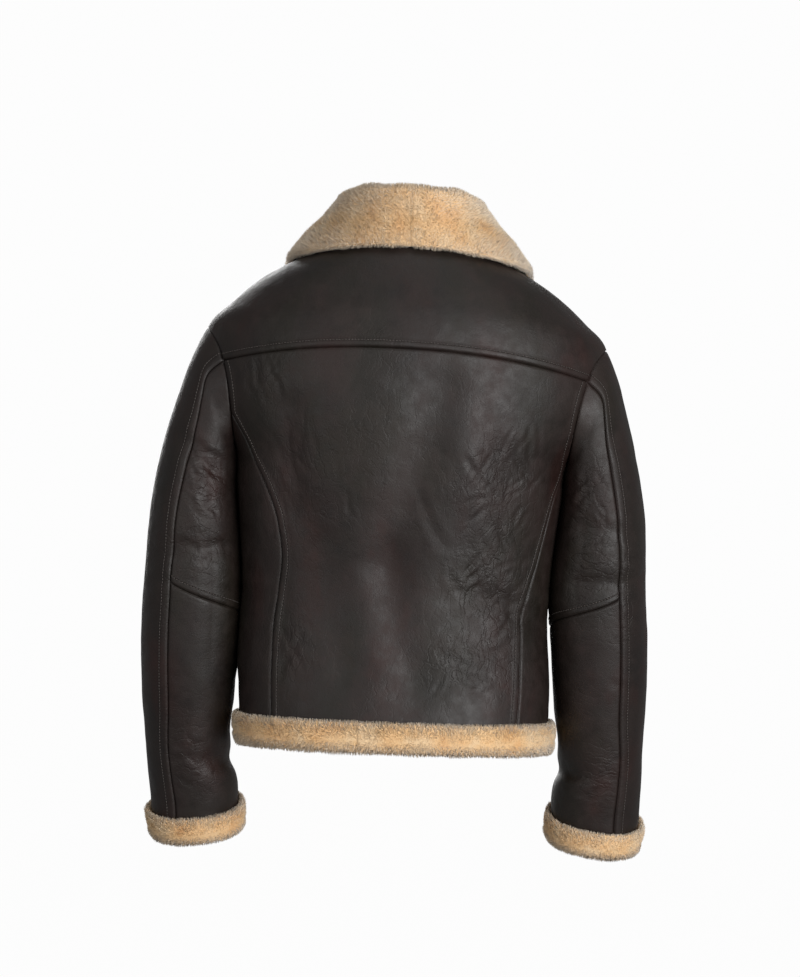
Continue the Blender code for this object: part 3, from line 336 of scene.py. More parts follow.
# where the arms rest against the body: height, and how far each surface swells on the left and right
TOUCH_ROWS = [(-545.0, 0.0, 0.0), (-522.0, 2.8, 0.0), (-500.0, 3.3, 0.0), (-480.0, 3.2, 0.0),
              (-460.0, 3.9, 0.6), (-446.0, 3.2, 1.8), (-434.0, 1.9, 3.3), (-425.0, 3.2, 3.3),
              (-390.0, 3.1, 3.1), (-345.0, 2.3, 2.3), (-310.0, 1.8, 1.8), (-288.0, 2.2, 2.2),
              (-274.0, 1.6, 1.6), (-262.0, 0.0, 0.0)]
CREASE_SHARE = 0.62
DITCH_DEPTH = 2.0
DITCH_HALF_WIDTH = 1.5
WELT_HEIGHT = 0.9
STITCH_LENGTH, STITCH_PITCH, STITCH_HALF_WIDTH = 2.8, 3.7, 0.45
SEAM_MEET, MEET_FADE = 2.0, 4.5
SLOPE_STEP, LEAST_AGREEMENT = 0.02, 0.75
RING_END = 4.0
# panel, edge with the topstitched side of a seam, distance of the stitch line from the seam
STITCHED_EDGES = [
    ("back_yoke", "bottom", 8.0), ("back_panel", "left", 9.0), ("back_panel", "right", 9.0),
    ("outer_sleeve", "right", 10.5), ("under_sleeve_upper", "top", 8.5),
    ("front_left", "zip", 6.5), ("front_right", "zip", 6.5),
]


def smooth_between(before, start, end, after, t):
    """Point at t on the curve from start to end whose slope follows the neighbours on each side."""
    return 0.5 * (2 * start + (end - before) * t
                  + (2 * before - 5 * start + 4 * end - after) * t ** 2
                  + (3 * start - before - 3 * end + after) * t ** 3)


def with_end_rows(rows):
    """The rows with one more straight on at each end, so that the curve has a slope there."""
    rows = np.asarray(rows, float)
    return np.concatenate([[2 * rows[0] - rows[1]], rows, [2 * rows[-1] - rows[-2]]])


def smooth_rows(table, position):
    """A table's columns at fractional row positions, on a smooth curve through every row."""
    rows = with_end_rows(table)
    place = np.clip(np.asarray(position, float), 0, len(rows) - 3)
    low = np.minimum(place.astype(int), len(rows) - 4)
    t = (place - low)[..., None]
    return smooth_between(rows[low], rows[low + 1], rows[low + 2], rows[low + 3], t)


def rounded_radius(across, along, width, depth, squareness):
    """Distance from a rounded loop's centre to its edge: (|a/w|^n + |b/d|^n)^(-1/n)."""
    return (np.abs(across / width) ** squareness + np.abs(along / depth) ** squareness) ** (-1 / squareness)


def torso_points(angle, level):
    """Torso surface: a rounded loop for each level, with angle 0 at the centre front and 180 at the back."""
    row = np.moveaxis(smooth_rows(TORSO_RINGS, level), -1, 0)
    back_z, side_z, front_z, half_width, back_depth, front_depth, squareness = row
    across, along = np.sin(np.radians(angle)), -np.cos(np.radians(angle))
    depth = np.where(along > 0, back_depth, front_depth)
    radius = rounded_radius(across, along, half_width, depth, squareness)
    x, y = radius * across, radius * along
    end_z = np.where(along > 0, back_z, front_z)
    return np.stack([x, y, side_z + (end_z - side_z) * (y / depth) ** 2], -1)


def angle_at_limit(level, facing, limit_x):
    """Angle where a torso ring's x falls to limit_x(z), on the back half (facing 1) or front (-1)."""
    inside = np.full(np.shape(level), 90.0 + 90.0 * facing)
    outside = np.full(np.shape(level), 90.0)
    for _ in range(30):
        middle = (inside + outside) / 2
        x, _, z = np.moveaxis(torso_points(middle, level), -1, 0)
        beyond = x > limit_x(z)
        outside, inside = np.where(beyond, middle, outside), np.where(beyond, inside, middle)
    return outside


def armhole_x(z):
    """Half width of the shoulders at the armhole seam, at height z."""
    rise = z - ARMPIT_Z
    return ARMPIT_X + rise * (ARMHOLE_LEAN + ARMHOLE_FLARE * (rise / ARMHOLE_HEIGHT) ** 4)


def princess_x(side):
    """Function of height that gives a curved back seam's distance from the centre."""
    column = [(row[0] if side > 0 else row[1],) for row in PRINCESS_ROWS]
    return lambda z: smooth_rows(column, (z - PRINCESS_LOW_Z) / PRINCESS_STEP)[..., 0]


def armhole_place(clock):
    """Torso angle and level at a clock place on the left armhole: 0 top, 90 back, 180 armpit."""
    clock = np.mod(np.asarray(clock, float), 360)
    level = SHOULDER_TIP - (SHOULDER_TIP - ARMPIT) * (1 - np.cos(np.radians(clock))) / 2
    return np.where(clock <= 180, angle_at_limit(level, 1, armhole_x), angle_at_limit(level, -1, armhole_x)), level


def armhole_clock(level):
    """Clock place of a torso level on the back half of the armhole."""
    return math.degrees(math.acos(1 - 2 * (SHOULDER_TIP - level) / (SHOULDER_TIP - ARMPIT)))


def sleeve_ring(clock, row):
    """One sleeve ring, a rounded loop from its outer point (clock 0) over the back to its inner point (180)."""
    outer_x, outer_z, inner_x, inner_z, middle_y, back_depth, front_depth, lean, _ = row
    centre = np.array([(outer_x + inner_x) / 2, middle_y, (outer_z + inner_z) / 2])
    across = np.array([outer_x - inner_x, 0.0, outer_z - inner_z]) / 2
    width = np.linalg.norm(across)
    rear = np.array([0.0, math.cos(math.radians(lean)), -math.sin(math.radians(lean))])
    side, along = np.cos(np.radians(clock)), np.sin(np.radians(clock))
    depth = np.where(along > 0, back_depth, front_depth)
    radius = rounded_radius(side, along, width, depth, SLEEVE_SQUARENESS)
    return centre + (radius * side)[..., None] * across / width + (radius * along)[..., None] * rear


def sleeve_points(clock, ring):
    """Left sleeve surface: smooth curves down the arm through the armhole (ring 0) and fifteen rings."""
    clock, ring = np.broadcast_arrays(np.asarray(clock, float), np.asarray(ring, float))
    flat_clock, flat_ring = clock.ravel(), ring.ravel()
    rings = [torso_points(*armhole_place(flat_clock))] + [sleeve_ring(flat_clock, row) for row in SLEEVE_RINGS]
    rings = with_end_rows(rings)
    low = np.clip(flat_ring.astype(int), 0, CUFF - 1)
    pick = np.arange(len(flat_clock))
    points = smooth_between(rings[low, pick], rings[low + 1, pick], rings[low + 2, pick],
                            rings[low + 3, pick], (flat_ring - low)[:, None])
    return points.reshape(clock.shape + (3,))


def back_seam_clock(ring):
    """Clock place of the sleeve's back seam at each ring."""
    return smooth_rows([(armhole_clock(YOKE),)] + [(row[8],) for row in SLEEVE_RINGS], ring)[..., 0]


def places(first, second):
    """Pairs of surface places, from two lists or a list and a single value."""
    return np.stack(np.broadcast_arrays(np.asarray(first, float), np.asarray(second, float)), -1)


def steps(start, end, cells):
    """Even steps along a seam, with the fine division inside each cell."""
    return np.linspace(start, end, cells * FINE + 1)


def patch(bottom, top, left, right):
    """Grid of surface places that fills four seam lines: both ruled fills less the corners' own."""
    s = np.linspace(0, 1, len(bottom))[None, :, None]
    t = np.linspace(0, 1, len(left))[:, None, None]
    ruled = (1 - t) * bottom + t * top + (1 - s) * left[:, None] + s * right[:, None]
    return ruled - (1 - t) * ((1 - s) * bottom[0] + s * bottom[-1]) - t * ((1 - s) * top[0] + s * top[-1])


def joined(*lines):
    """Lines end to end, with the point that two of them share kept once."""
    return np.concatenate([lines[0]] + [line[1:] for line in lines[1:]])


def slot_angle(level, half_gap):
    """Angle where a front edge runs, half_gap from the centre front."""
    return np.degrees(np.arctan2(half_gap, smooth_rows(TORSO_RINGS, level)[..., 5]))


def torso_seams(side):
    """Places of every seam on one side of the torso, as (angle, level) lines on the left side."""
    body = steps(HEM, ARMPIT, CELLS_BODY)
    rising = steps(HEM, PRINCESS_TOP, CELLS_BODY)
    margin = PRINCESS_MARGIN * (PRINCESS_TOP - rising) / (PRINCESS_TOP - ARMPIT)
    beside_armhole = np.where(rising > ARMPIT, angle_at_limit(rising, 1, armhole_x) + margin, 0.0)
    princess_angle = np.maximum(angle_at_limit(rising, 1, princess_x(side)), beside_armhole)
    top_clock, yoke_clock = armhole_clock(PRINCESS_TOP), armhole_clock(YOKE)
    under = places(*armhole_place(steps(180, top_clock, CELLS_SIDE)))
    princess_angle[-1] = under[-1, 0]
    zip_levels = steps(HEM, NECK, CELLS_BODY + CELLS_ARM_FRONT + CELLS_SHOULDER)
    neck_start = float(slot_angle(np.array(float(NECK)), SLOT_HALF))
    return {
        "side": places(np.interp(body, [HEM, ARMPIT], [86.0, 90.0]), body),
        "princess": places(princess_angle, rising),
        "arm under": under,
        "arm back": places(*armhole_place(steps(top_clock, yoke_clock, CELLS_ARM_BACK))),
        "arm top": places(*armhole_place(steps(yoke_clock, 0, CELLS_ARM_TOP))),
        "arm front": places(*armhole_place(steps(180, 360, CELLS_ARM_FRONT))),
        "shoulder": places(90.0, steps(SHOULDER_TIP, NECK, CELLS_SHOULDER)),
        "neck front": places(steps(neck_start, 90, CELLS_FRONT), NECK),
        "zip": places(slot_angle(zip_levels, SLOT_HALF), zip_levels),
    }


def mirrored(line):
    """A line of torso places on the other side of the body."""
    return line * [-1, 1] + [360, 0]


def hem_line(start, end, cells):
    """Even steps of angle along the hem between two seams."""
    return places(steps(start[0][0], end[0][0], cells), HEM)


def torso_patches():
    """Grids of torso places by panel name, with angle rising along each row and level up each column."""
    seams = {1: torso_seams(1), -1: torso_seams(-1)}
    left, right = seams[1], {name: mirrored(line) for name, line in seams[-1].items()}
    yoke_line = places(steps(left["arm back"][-1][0], right["arm back"][-1][0], CELLS_BACK), YOKE)
    patches = {
        "back_panel": patch(hem_line(left["princess"], right["princess"], CELLS_BACK), yoke_line,
                            joined(left["princess"], left["arm back"]),
                            joined(right["princess"], right["arm back"])),
        "back_yoke": patch(yoke_line, places(steps(90, 270, CELLS_BACK), NECK),
                           joined(left["arm top"], left["shoulder"]),
                           joined(right["arm top"], right["shoulder"])),
    }
    for name, side in (("left", 1), ("right", -1)):
        own = seams[side]
        side_panel = patch(hem_line(own["side"], own["princess"], CELLS_SIDE), own["arm under"],
                           own["side"], own["princess"])
        front = patch(hem_line(own["zip"], own["side"], CELLS_FRONT), own["neck front"], own["zip"],
                      joined(own["side"], own["arm front"], own["shoulder"]))
        if side < 0:
            side_panel, front = mirrored(side_panel)[:, ::-1], mirrored(front)[:, ::-1]
        patches["side_panel_" + name] = side_panel
        patches["front_" + name] = front
    return patches


def sleeve_patches():
    """Grids of sleeve places by panel name, with clock rising along each row and ring down the arm."""
    yoke_clock, top_clock = armhole_clock(YOKE), armhole_clock(PRINCESS_TOP)
    front_cell = 180 / CELLS_ARM_FRONT
    under_cells = round((FRONT_SEAM_CLOCK - 180) / front_cell)
    armhole_outer = joined(steps(FRONT_SEAM_CLOCK - 360, 0, CELLS_ARM_FRONT - under_cells),
                           steps(0, yoke_clock, CELLS_ARM_TOP))
    armhole_under = joined(steps(yoke_clock, top_clock, CELLS_ARM_BACK), steps(top_clock, 180, CELLS_SIDE),
                           steps(180, FRONT_SEAM_CLOCK, under_cells))
    upper_back = steps(0, ELBOW_RING_BACK, CELLS_SLEEVE_UPPER)
    lower_back = steps(ELBOW_RING_BACK, CUFF, CELLS_SLEEVE_LOWER)
    upper_front = steps(0, ELBOW_RING_FRONT, CELLS_SLEEVE_UPPER)
    lower_front = steps(ELBOW_RING_FRONT, CUFF, CELLS_SLEEVE_LOWER)
    back_rings, front_rings = joined(upper_back, lower_back), joined(upper_front, lower_front)
    cuff_clock = float(back_seam_clock(np.array(float(CUFF))))
    start = float(back_seam_clock(np.array(ELBOW_RING_BACK)))
    part = np.linspace(0, 1, len(armhole_under))
    elbow = places(start + (FRONT_SEAM_CLOCK - start) * part,
                   ELBOW_RING_BACK + (ELBOW_RING_FRONT - ELBOW_RING_BACK) * part ** 0.75)
    return {
        "outer_sleeve": patch(places(armhole_outer, 0),
                              places(np.linspace(FRONT_SEAM_CLOCK - 360, cuff_clock, len(armhole_outer)), CUFF),
                              places(FRONT_SEAM_CLOCK - 360, front_rings),
                              places(back_seam_clock(back_rings), back_rings)),
        "under_sleeve_upper": patch(places(armhole_under, 0), elbow,
                                    places(back_seam_clock(upper_back), upper_back),
                                    places(FRONT_SEAM_CLOCK, upper_front)),
        "under_sleeve_lower": patch(elbow, places(np.linspace(cuff_clock, FRONT_SEAM_CLOCK, len(elbow)), CUFF),
                                    places(back_seam_clock(lower_back), lower_back),
                                    places(FRONT_SEAM_CLOCK, lower_front)),
    }


def seam_positions(cells):
    """Grid positions along a panel: every fine step, with closer ones beside both seams."""
    near = np.array(EDGE_STEPS)
    return np.concatenate([[0], near, np.arange(1, cells), cells - near[::-1], [cells]])


def between_rows(grid, position):
    """Rows of a grid at fractional positions, on straight lines between the grid's own."""
    low = np.minimum(position.astype(int), len(grid) - 2)
    part = (position - low).reshape((-1,) + (1,) * (grid.ndim - 1))
    return grid[low] * (1 - part) + grid[low + 1] * part


def fine_grid(patch_places):
    """The panel's places at its final rows and columns, closer together beside the seams."""
    rows, columns = seam_positions(len(patch_places) - 1), seam_positions(patch_places.shape[1] - 1)
    grid = between_rows(patch_places, rows)
    return np.swapaxes(between_rows(np.swapaxes(grid, 0, 1), columns), 0, 1), rows, columns


def grid_normals(grid, hand=1):
    """Unit direction out of every grid point: the cross product of its slopes along and down the grid."""
    normals = np.cross(np.gradient(grid, axis=1), np.gradient(grid, axis=0)) * hand
    return normals / np.maximum(np.linalg.norm(normals, axis=-1, keepdims=True), 1e-12)


def noise(points, size, seed):
    """Values from -1 to 1 that change smoothly over about size mm: random numbers at the corners of
    cubes, blended between them."""
    table = np.random.default_rng(seed).uniform(-1, 1, (32, 32, 32))
    place = points / size + seed * 3.7
    base = np.floor(place).astype(int)
    part = place - base
    part = part * part * (3 - 2 * part)
    total = np.zeros(points.shape[:-1])
    for dx in (0, 1):
        for dy in (0, 1):
            for dz in (0, 1):
                corner = table[(base[..., 0] + dx) % 32, (base[..., 1] + dy) % 32, (base[..., 2] + dz) % 32]
                weight = (np.abs(1 - dx - part[..., 0]) * np.abs(1 - dy - part[..., 1])
                          * np.abs(1 - dz - part[..., 2]))
                total += corner * weight
    return total


def facing_share(facing, points, normals):
    """How squarely each point faces the back, the front or the inner side, from 0 to 1."""
    turned = {"back": normals[..., 1], "front": -normals[..., 1],
              "inner": -normals[..., 0] * np.sign(points[..., 0])}[facing]
    return np.clip(1.6 * turned, 0, 1)


def fold_depth(points, normals):
    """How far the broad folds press each point in: a bell across each fold's line."""
    depth = np.zeros(points.shape[:-1])
    for facing, first, first_z, second, second_z, width, size in FOLDS:
        place = points[..., 1] if facing == "inner" else points[..., 0]
        start, run = np.array([first, first_z]), np.array([second - first, second_z - first_z])
        offset = np.stack([place, points[..., 2]], -1) - start
        part = np.clip((offset @ run) / (run @ run), 0, 1)
        distance = np.linalg.norm(offset - part[..., None] * run, axis=-1)
        depth += size * np.exp(-(distance / width) ** 2) * facing_share(facing, points, normals)
    return depth


def small_creases():
    """Rows like those of CREASES for every field: places, slants, lengths and depths spread at random."""
    rows = []
    for facing, x, z, half_x, half_z, slant, count, length, depth in CREASE_FIELDS:
        for _ in range(count):
            centre = np.array([x + half_x * rng.uniform(-1, 1), z + half_z * rng.uniform(-1, 1)])
            angle = math.radians(slant + rng.normal(0, 16))
            half = length * rng.uniform(0.3, 0.75) * np.array([math.cos(angle), math.sin(angle)])
            first, second = centre - half, centre + half
            rows.append((facing, *first, *second, rng.uniform(1.7, 2.8), depth * rng.uniform(0.5, 1.3),
                         rng.uniform(-3, 3)))
    return rows


def crease_depth(points, normals, rows):
    """How far the creases press each point in: a narrow trough along a bowed line between two low
    lips, fading to nothing at the line's ends."""
    depth = np.zeros(points.shape[:-1])
    flat_x, flat_z = points[..., 0], points[..., 2]
    share = {facing: facing_share(facing, points, normals) for facing in ("back", "front")}
    for facing, x1, z1, x2, z2, width, size, bow in rows:
        reach = 4 * width + abs(bow)
        inside = ((flat_x > min(x1, x2) - reach) & (flat_x < max(x1, x2) + reach)
                  & (flat_z > min(z1, z2) - reach) & (flat_z < max(z1, z2) + reach) & (share[facing] > 0))
        if not inside.any():
            continue
        x, z = flat_x[inside], flat_z[inside]
        run = np.array([x2 - x1, z2 - z1])
        length = np.linalg.norm(run)
        along = ((x - x1) * run[0] + (z - z1) * run[1]) / length ** 2
        across = ((x - x1) * -run[1] + (z - z1) * run[0]) / length
        across = np.abs(across - bow * (1 - (2 * along - 1) ** 2))
        fade = np.clip(4 * along * (1 - along), 0, 1) ** 0.7
        trough = np.exp(-(across / width) ** 2) - 0.5 * np.exp(-((across - 2.3 * width) / width) ** 2)
        depth[inside] += size * fade * trough * share[facing][inside]
    return depth


def stance(points):
    """The jacket as it stands in use: swayed a little sideways, with the left shoulder higher."""
    heights, sways = zip(*SWAY_ROWS)
    x, y, z = np.moveaxis(points, -1, 0)
    part = np.clip((z - LIFT_NONE_Z) / (LIFT_FULL_Z - LIFT_NONE_Z), 0, 1)
    lift = LEFT_SHOULDER_LIFT * x * part ** 2 * (3 - 2 * part)
    return np.stack([x - np.interp(z, heights, sways), y, z + lift], -1)


def edge_distances(grid):
    """Distance of every grid point from each of its four edges, measured along its row or column."""
    down = np.linalg.norm(np.diff(grid, axis=0), axis=-1)
    along = np.linalg.norm(np.diff(grid, axis=1), axis=-1)
    from_bottom = np.concatenate([np.zeros((1, grid.shape[1])), np.cumsum(down, 0)])
    from_left = np.concatenate([np.zeros((grid.shape[0], 1)), np.cumsum(along, 1)], 1)
    return {"bottom": from_bottom, "top": from_bottom[-1] - from_bottom,
            "left": from_left, "right": from_left[:, -1:] - from_left}


RIMS = {"bottom": np.s_[0], "top": np.s_[-1], "left": np.s_[:, 0], "right": np.s_[:, -1]}


def torso_outwards(places_on_torso):
    """Direction out of the torso: the cross product of its surface's slopes round and up the body."""
    angle, level = np.moveaxis(places_on_torso, -1, 0)
    across = torso_points(angle + SLOPE_STEP, level) - torso_points(angle - SLOPE_STEP, level)
    rise = torso_points(angle, level + SLOPE_STEP) - torso_points(angle, level - SLOPE_STEP)
    way = np.cross(across, rise)
    return way / np.linalg.norm(way, axis=-1, keepdims=True)


def met_normals(grids, hands, outwards):
    """Unit normals that agree where panels meet. A rim point takes the mean of all rim normals near
    it, weighted by exp(-(distance/2 mm)^2), and the change fades into the panel as a bell. In the
    torso's narrowest corners, where a grid's cells turn over, the torso's own direction stands in."""
    own = {name: grid_normals(grid, hands[name]) for name, grid in grids.items()}
    for name, guide in outwards.items():
        agrees = np.sum(own[name] * guide, axis=-1, keepdims=True) > LEAST_AGREEMENT
        own[name] = np.where(agrees, own[name], guide)
    rim_points = np.concatenate([grid[rim] for grid in grids.values() for rim in RIMS.values()])
    rim_ways = np.concatenate([way[rim] for way in own.values() for rim in RIMS.values()])
    met = {}
    for name, grid in grids.items():
        distances = edge_distances(grid)
        change, total = np.zeros_like(grid), np.zeros(grid.shape[:2])
        for edge, rim in RIMS.items():
            place = grid[rim]
            square = (place ** 2).sum(1)[:, None] + (rim_points ** 2).sum(1) - 2 * place @ rim_points.T
            shared = np.exp(-square / SEAM_MEET ** 2) @ rim_ways
            turn = shared / np.linalg.norm(shared, axis=1, keepdims=True) - own[name][rim]
            turn = turn[None] if edge in ("bottom", "top") else turn[:, None]
            weight = np.exp(-(distances[edge] / MEET_FADE) ** 2) / (distances[edge] + 0.02)
            change += weight[..., None] * turn
            total += weight
        nearest = np.minimum.reduce(list(distances.values()))
        fade = np.exp(-(nearest / MEET_FADE) ** 2) / np.maximum(total, 1e-12)
        way = own[name] + change * fade[..., None]
        met[name] = way / np.linalg.norm(way, axis=-1, keepdims=True)
    return met


def seam_relief(distances, stitched):
    """Height beside the seams: a round drop into each ditch, and a low raised band from the ditch out
    to each line of stitches, which ends where the next seam crosses it."""
    dips = {edge: np.exp(-(distance / DITCH_HALF_WIDTH) ** 2) for edge, distance in distances.items()}
    height = -DITCH_DEPTH * (1 - np.prod([1 - dip for dip in dips.values()], axis=0))
    for edge, place in stitched:
        clear = np.prod([1 - dip for other, dip in dips.items() if other != edge], axis=0)
        distance = distances[edge]
        height += WELT_HEIGHT * clear / (1 + np.exp((distance - place - 0.6) / 0.8)) * (distance > 0)
    return height


def touch_swell(points, normals, toward):
    """How far a surface swells where the arm rests on the body: TOUCH_ROWS by height, on the part that
    faces across the gap. toward is 1 on the body and -1 on the sleeves."""
    heights, left, right = zip(*sorted(TOUCH_ROWS))
    z = points[..., 2]
    size = np.where(points[..., 0] > 0, np.interp(z, heights, left), np.interp(z, heights, right))
    return size * np.clip((toward * np.sign(points[..., 0]) * normals[..., 0] - 0.5) / 0.3, 0, 1)


def crumple(points, normals):
    """Share of fine wrinkles at each point: a little everywhere, and more inside the crease fields."""
    share = np.full(points.shape[:-1], 0.14)
    for facing, x, z, half_x, half_z, _, _, _, depth in CREASE_FIELDS:
        spread = ((points[..., 0] - x) / half_x) ** 2 + ((points[..., 2] - z) / half_z) ** 2
        share += 1.1 * depth * np.exp(-0.8 * spread) * facing_share(facing, points, normals)
    return np.clip(share + 0.18 * noise(points, 40.0, 8), 0, 1)


def rim_faces(outer_ring, outer_place, inner_ring, inner_place):
    """Triangles between a fine ring and a coarse ring of points: each fine edge goes to the nearest
    coarse point, and each coarse edge to the fine point where that changes."""
    middles = (inner_place + np.append(inner_place[1:], inner_place[0] + outer_place[-1] + 1)) / 2
    middles[-1] = (inner_place[-1] + RING_END) / 2
    fine_middle = (outer_place + np.append(outer_place[1:], RING_END)) / 2
    owner = np.searchsorted(middles, fine_middle) % len(inner_ring)
    change = np.searchsorted(fine_middle, middles, side="right") % len(outer_ring)
    fans = np.stack([outer_ring, inner_ring[owner], np.roll(outer_ring, -1)], -1)
    fills = np.stack([outer_ring[change], inner_ring, np.roll(inner_ring, -1)], -1)
    return np.concatenate([fans, fills])


def ring_of(rows, columns):
    """Numbers of a grid's border points in order, and their places round the border from 0 to 4."""
    r, c = rows / rows[-1], columns / columns[-1]
    number = np.arange(len(r) * len(c)).reshape(len(r), len(c))
    ring = np.concatenate([number[0, :-1], number[:-1, -1], number[-1, :0:-1], number[:0:-1, 0]])
    place = np.concatenate([c[:-1], 1 + r[:-1], 3 - c[:0:-1], 4 - r[:0:-1]])
    return ring, place


def add_shell(name, outer, rows, columns, normals, thickness, materials):
    """A closed shell: the fine outer face, a coarser inner face set in by thickness, and the rim."""
    keep_rows = np.isin(rows, np.arange(0, rows[-1] + 1, INSIDE_STEP))
    keep_columns = np.isin(columns, np.arange(0, columns[-1] + 1, INSIDE_STEP))
    inner = (outer - normals * thickness)[keep_rows][:, keep_columns]
    count = outer.shape[0] * outer.shape[1]
    ring, place = ring_of(rows, columns)
    inner_ring, inner_place = ring_of(rows[keep_rows], columns[keep_columns])
    quads = grid_quads(*outer.shape[:2])
    inside = grid_quads(*inner.shape[:2], start=count)[:, ::-1]
    rim = rim_faces(ring, place, inner_ring + count, inner_place)
    face_material = np.repeat([0, 1, 0], [len(quads), len(inside), len(rim)])
    points = stance(np.concatenate([outer.reshape(-1, 3), inner.reshape(-1, 3)]))
    piece = mesh_object(name, points, [quads, inside, rim], materials, face_material)
    face_outwards(piece)
    return piece, np.concatenate([np.ones(count), np.zeros(len(points) - count)]) > 0


def set_attribute(piece, name, values):
    """A number for each point of a mesh."""
    made = piece.data.attributes.new(name, "FLOAT", "POINT")
    made.data.foreach_set("value", np.asarray(values, np.float32))


def maths(tree, operation, first, second):
    """Output of a maths node: each input is a socket or a number."""
    node = add_node(tree, "ShaderNodeMath", {"operation": operation})
    for place, value in enumerate((first, second)):
        if isinstance(value, (int, float)):
            node.inputs[place].default_value = value
        else:
            tree.links.new(value, node.inputs[place])
    return node.outputs[0]


def scaled(tree, vector, scale):
    """A vector times a constant one, to stretch a pattern along an axis."""
    return add_node(tree, "ShaderNodeVectorMath", {"operation": "MULTIPLY", 1: scale}, _0=vector).outputs[0]


def wrinkle_lines(tree, vector, cells, half_width):
    """Network of fine furrows: 0 along the borders of cells, so many to a metre, and 1 inside them."""
    net = add_node(tree, "ShaderNodeTexVoronoi", {"Scale": cells, "feature": "DISTANCE_TO_EDGE"}, Vector=vector)
    return ramp(tree, net.outputs["Distance"], [(0.0, 0.0), (half_width, 1.0)])


# Nappa: aniline-dyed sheepskin with a light pigment finish, so its brown is uneven and shifts
# between red and greenish grey, and its smooth grain has a soft satin gloss with fine wrinkles
nappa, tree, shader = new_material("nappa leather")
where = add_node(tree, "ShaderNodeTexCoord").outputs["Object"]
broad = add_node(tree, "ShaderNodeTexNoise", {"Scale": 9.0, "Detail": 4.0, "Roughness": 0.6}, Vector=where)
fine_tone = add_node(tree, "ShaderNodeTexNoise", {"Scale": 60.0, "Detail": 5.0, "Roughness": 0.65}, Vector=where)
tone = add_node(tree, "ShaderNodeMix", {"data_type": "FLOAT", 0: 0.35}, _2=broad.outputs["Fac"],
                _3=fine_tone.outputs["Fac"])
colour = ramp(tree, tone.outputs["Result"], [(0.32, "#1b1513"), (0.47, "#231b18"), (0.58, "#2a201d"),
                                             (0.72, "#312724")])
streaks = add_node(tree, "ShaderNodeTexNoise", {"Scale": 13.0, "Detail": 3.0, "Roughness": 0.55},
                   Vector=scaled(tree, where, (1.0, 1.0, 0.45)))
tint = ramp(tree, streaks.outputs["Fac"], [(0.36, "#c9d2bf"), (0.47, "#dcdcd6"), (0.56, "#e4d9d7"), (0.66, "#f4c9c2")])
tinted = add_node(tree, "ShaderNodeMix", {"data_type": "RGBA", "blend_type": "MULTIPLY", 0: 1.0}, _6=colour, _7=tint)
# the thread presses a groove into the leather along each line of stitches: the bump sinks it, and the colour there is
# painted shade, darkened towards near black-brown
stitch = add_node(tree, "ShaderNodeAttribute", {"attribute_name": "stitch"}).outputs["Fac"]
groove_depth_and_shade = ramp(tree, maths(tree, "ABSOLUTE", stitch, 0.0), [(0.0, 1.0), (0.35, 0.75), (1.0, 0.0)])
# painted shade: the leather's colour is mixed towards #0f0b0a in each stitch groove
painted_groove_shade = add_node(tree, "ShaderNodeMix", {"data_type": "RGBA", 7: linear("#0f0b0a")},
                   _0=maths(tree, "MULTIPLY", groove_depth_and_shade, 0.7), _6=tinted.outputs[2])
tree.links.new(painted_groove_shade.outputs[2], shader.inputs["Base Color"])
gloss = ramp(tree, fine_tone.outputs["Fac"], [(0.3, 0.46), (0.7, 0.60)])
tree.links.new(gloss, shader.inputs["Roughness"])
shader.inputs["Specular IOR Level"].default_value = 0.36
# heights in mm: wrinkles about 14 and 5 mm apart, drawn out upright on the body and level on the
# sleeves, then pore grain 0.9 mm apart
crumpled = add_node(tree, "ShaderNodeAttribute", {"attribute_name": "crumple"}).outputs["Fac"]
upright = add_node(tree, "ShaderNodeAttribute", {"attribute_name": "upright"}).outputs["Fac"]
warp = add_node(tree, "ShaderNodeTexNoise", {"Scale": 28.0, "Detail": 4.0, "Roughness": 0.6}, Vector=where)
bent = add_node(tree, "ShaderNodeMix", {"data_type": "VECTOR", 0: 0.035}, _4=where, _5=warp.outputs["Color"])
drawn_out = add_node(tree, "ShaderNodeMix", {"data_type": "VECTOR"}, _0=upright,
                     _4=scaled(tree, bent.outputs[1], (0.5, 0.5, 1.15)),
                     _5=scaled(tree, bent.outputs[1], (1.15, 1.15, 0.42))).outputs[1]
coarse = wrinkle_lines(tree, drawn_out, 72.0, 0.11)
fine = wrinkle_lines(tree, drawn_out, 190.0, 0.16)
pores = add_node(tree, "ShaderNodeTexVoronoi", {"Scale": 1100.0, "feature": "F1"}, Vector=where)
uneven = add_node(tree, "ShaderNodeTexNoise", {"Scale": 260.0, "Detail": 4.0, "Roughness": 0.6}, Vector=where)
wrinkled = maths(tree, "ADD", maths(tree, "MULTIPLY", coarse, 0.34), maths(tree, "MULTIPLY", fine, 0.13))
grain = maths(tree, "ADD", maths(tree, "MULTIPLY", pores.outputs["Distance"], 0.07),
              maths(tree, "MULTIPLY", uneven.outputs["Fac"], 0.16))
relief = maths(tree, "ADD", maths(tree, "MULTIPLY", wrinkled, crumpled), grain)
relief = maths(tree, "SUBTRACT", relief, maths(tree, "MULTIPLY", groove_depth_and_shade, 0.45))
bump = add_node(tree, "ShaderNodeBump", {"Strength": 1.0, "Distance": 0.001}, Height=relief)
tree.links.new(bump.outputs["Normal"], shader.inputs["Normal"])

# The clipped wool lining: short cream fleece with small clumps about 4 mm across
lining, tree, shader = new_material("clipped wool lining")
where = add_node(tree, "ShaderNodeTexCoord").outputs["Object"]
clumps = add_node(tree, "ShaderNodeTexNoise", {"Scale": 260.0, "Detail": 5.0, "Roughness": 0.7}, Vector=where)
colour = ramp(tree, clumps.outputs["Fac"], [(0.3, "#b99a72"), (0.5, "#d2b58c"), (0.7, "#e3cba6")])
tree.links.new(colour, shader.inputs["Base Color"])
shader.inputs["Roughness"].default_value = 0.95
shader.inputs["Sheen Weight"].default_value = 0.3
bump = add_node(tree, "ShaderNodeBump", {"Strength": 0.9, "Distance": 0.003}, Height=clumps.outputs["Fac"])
tree.links.new(bump.outputs["Normal"], shader.inputs["Normal"])

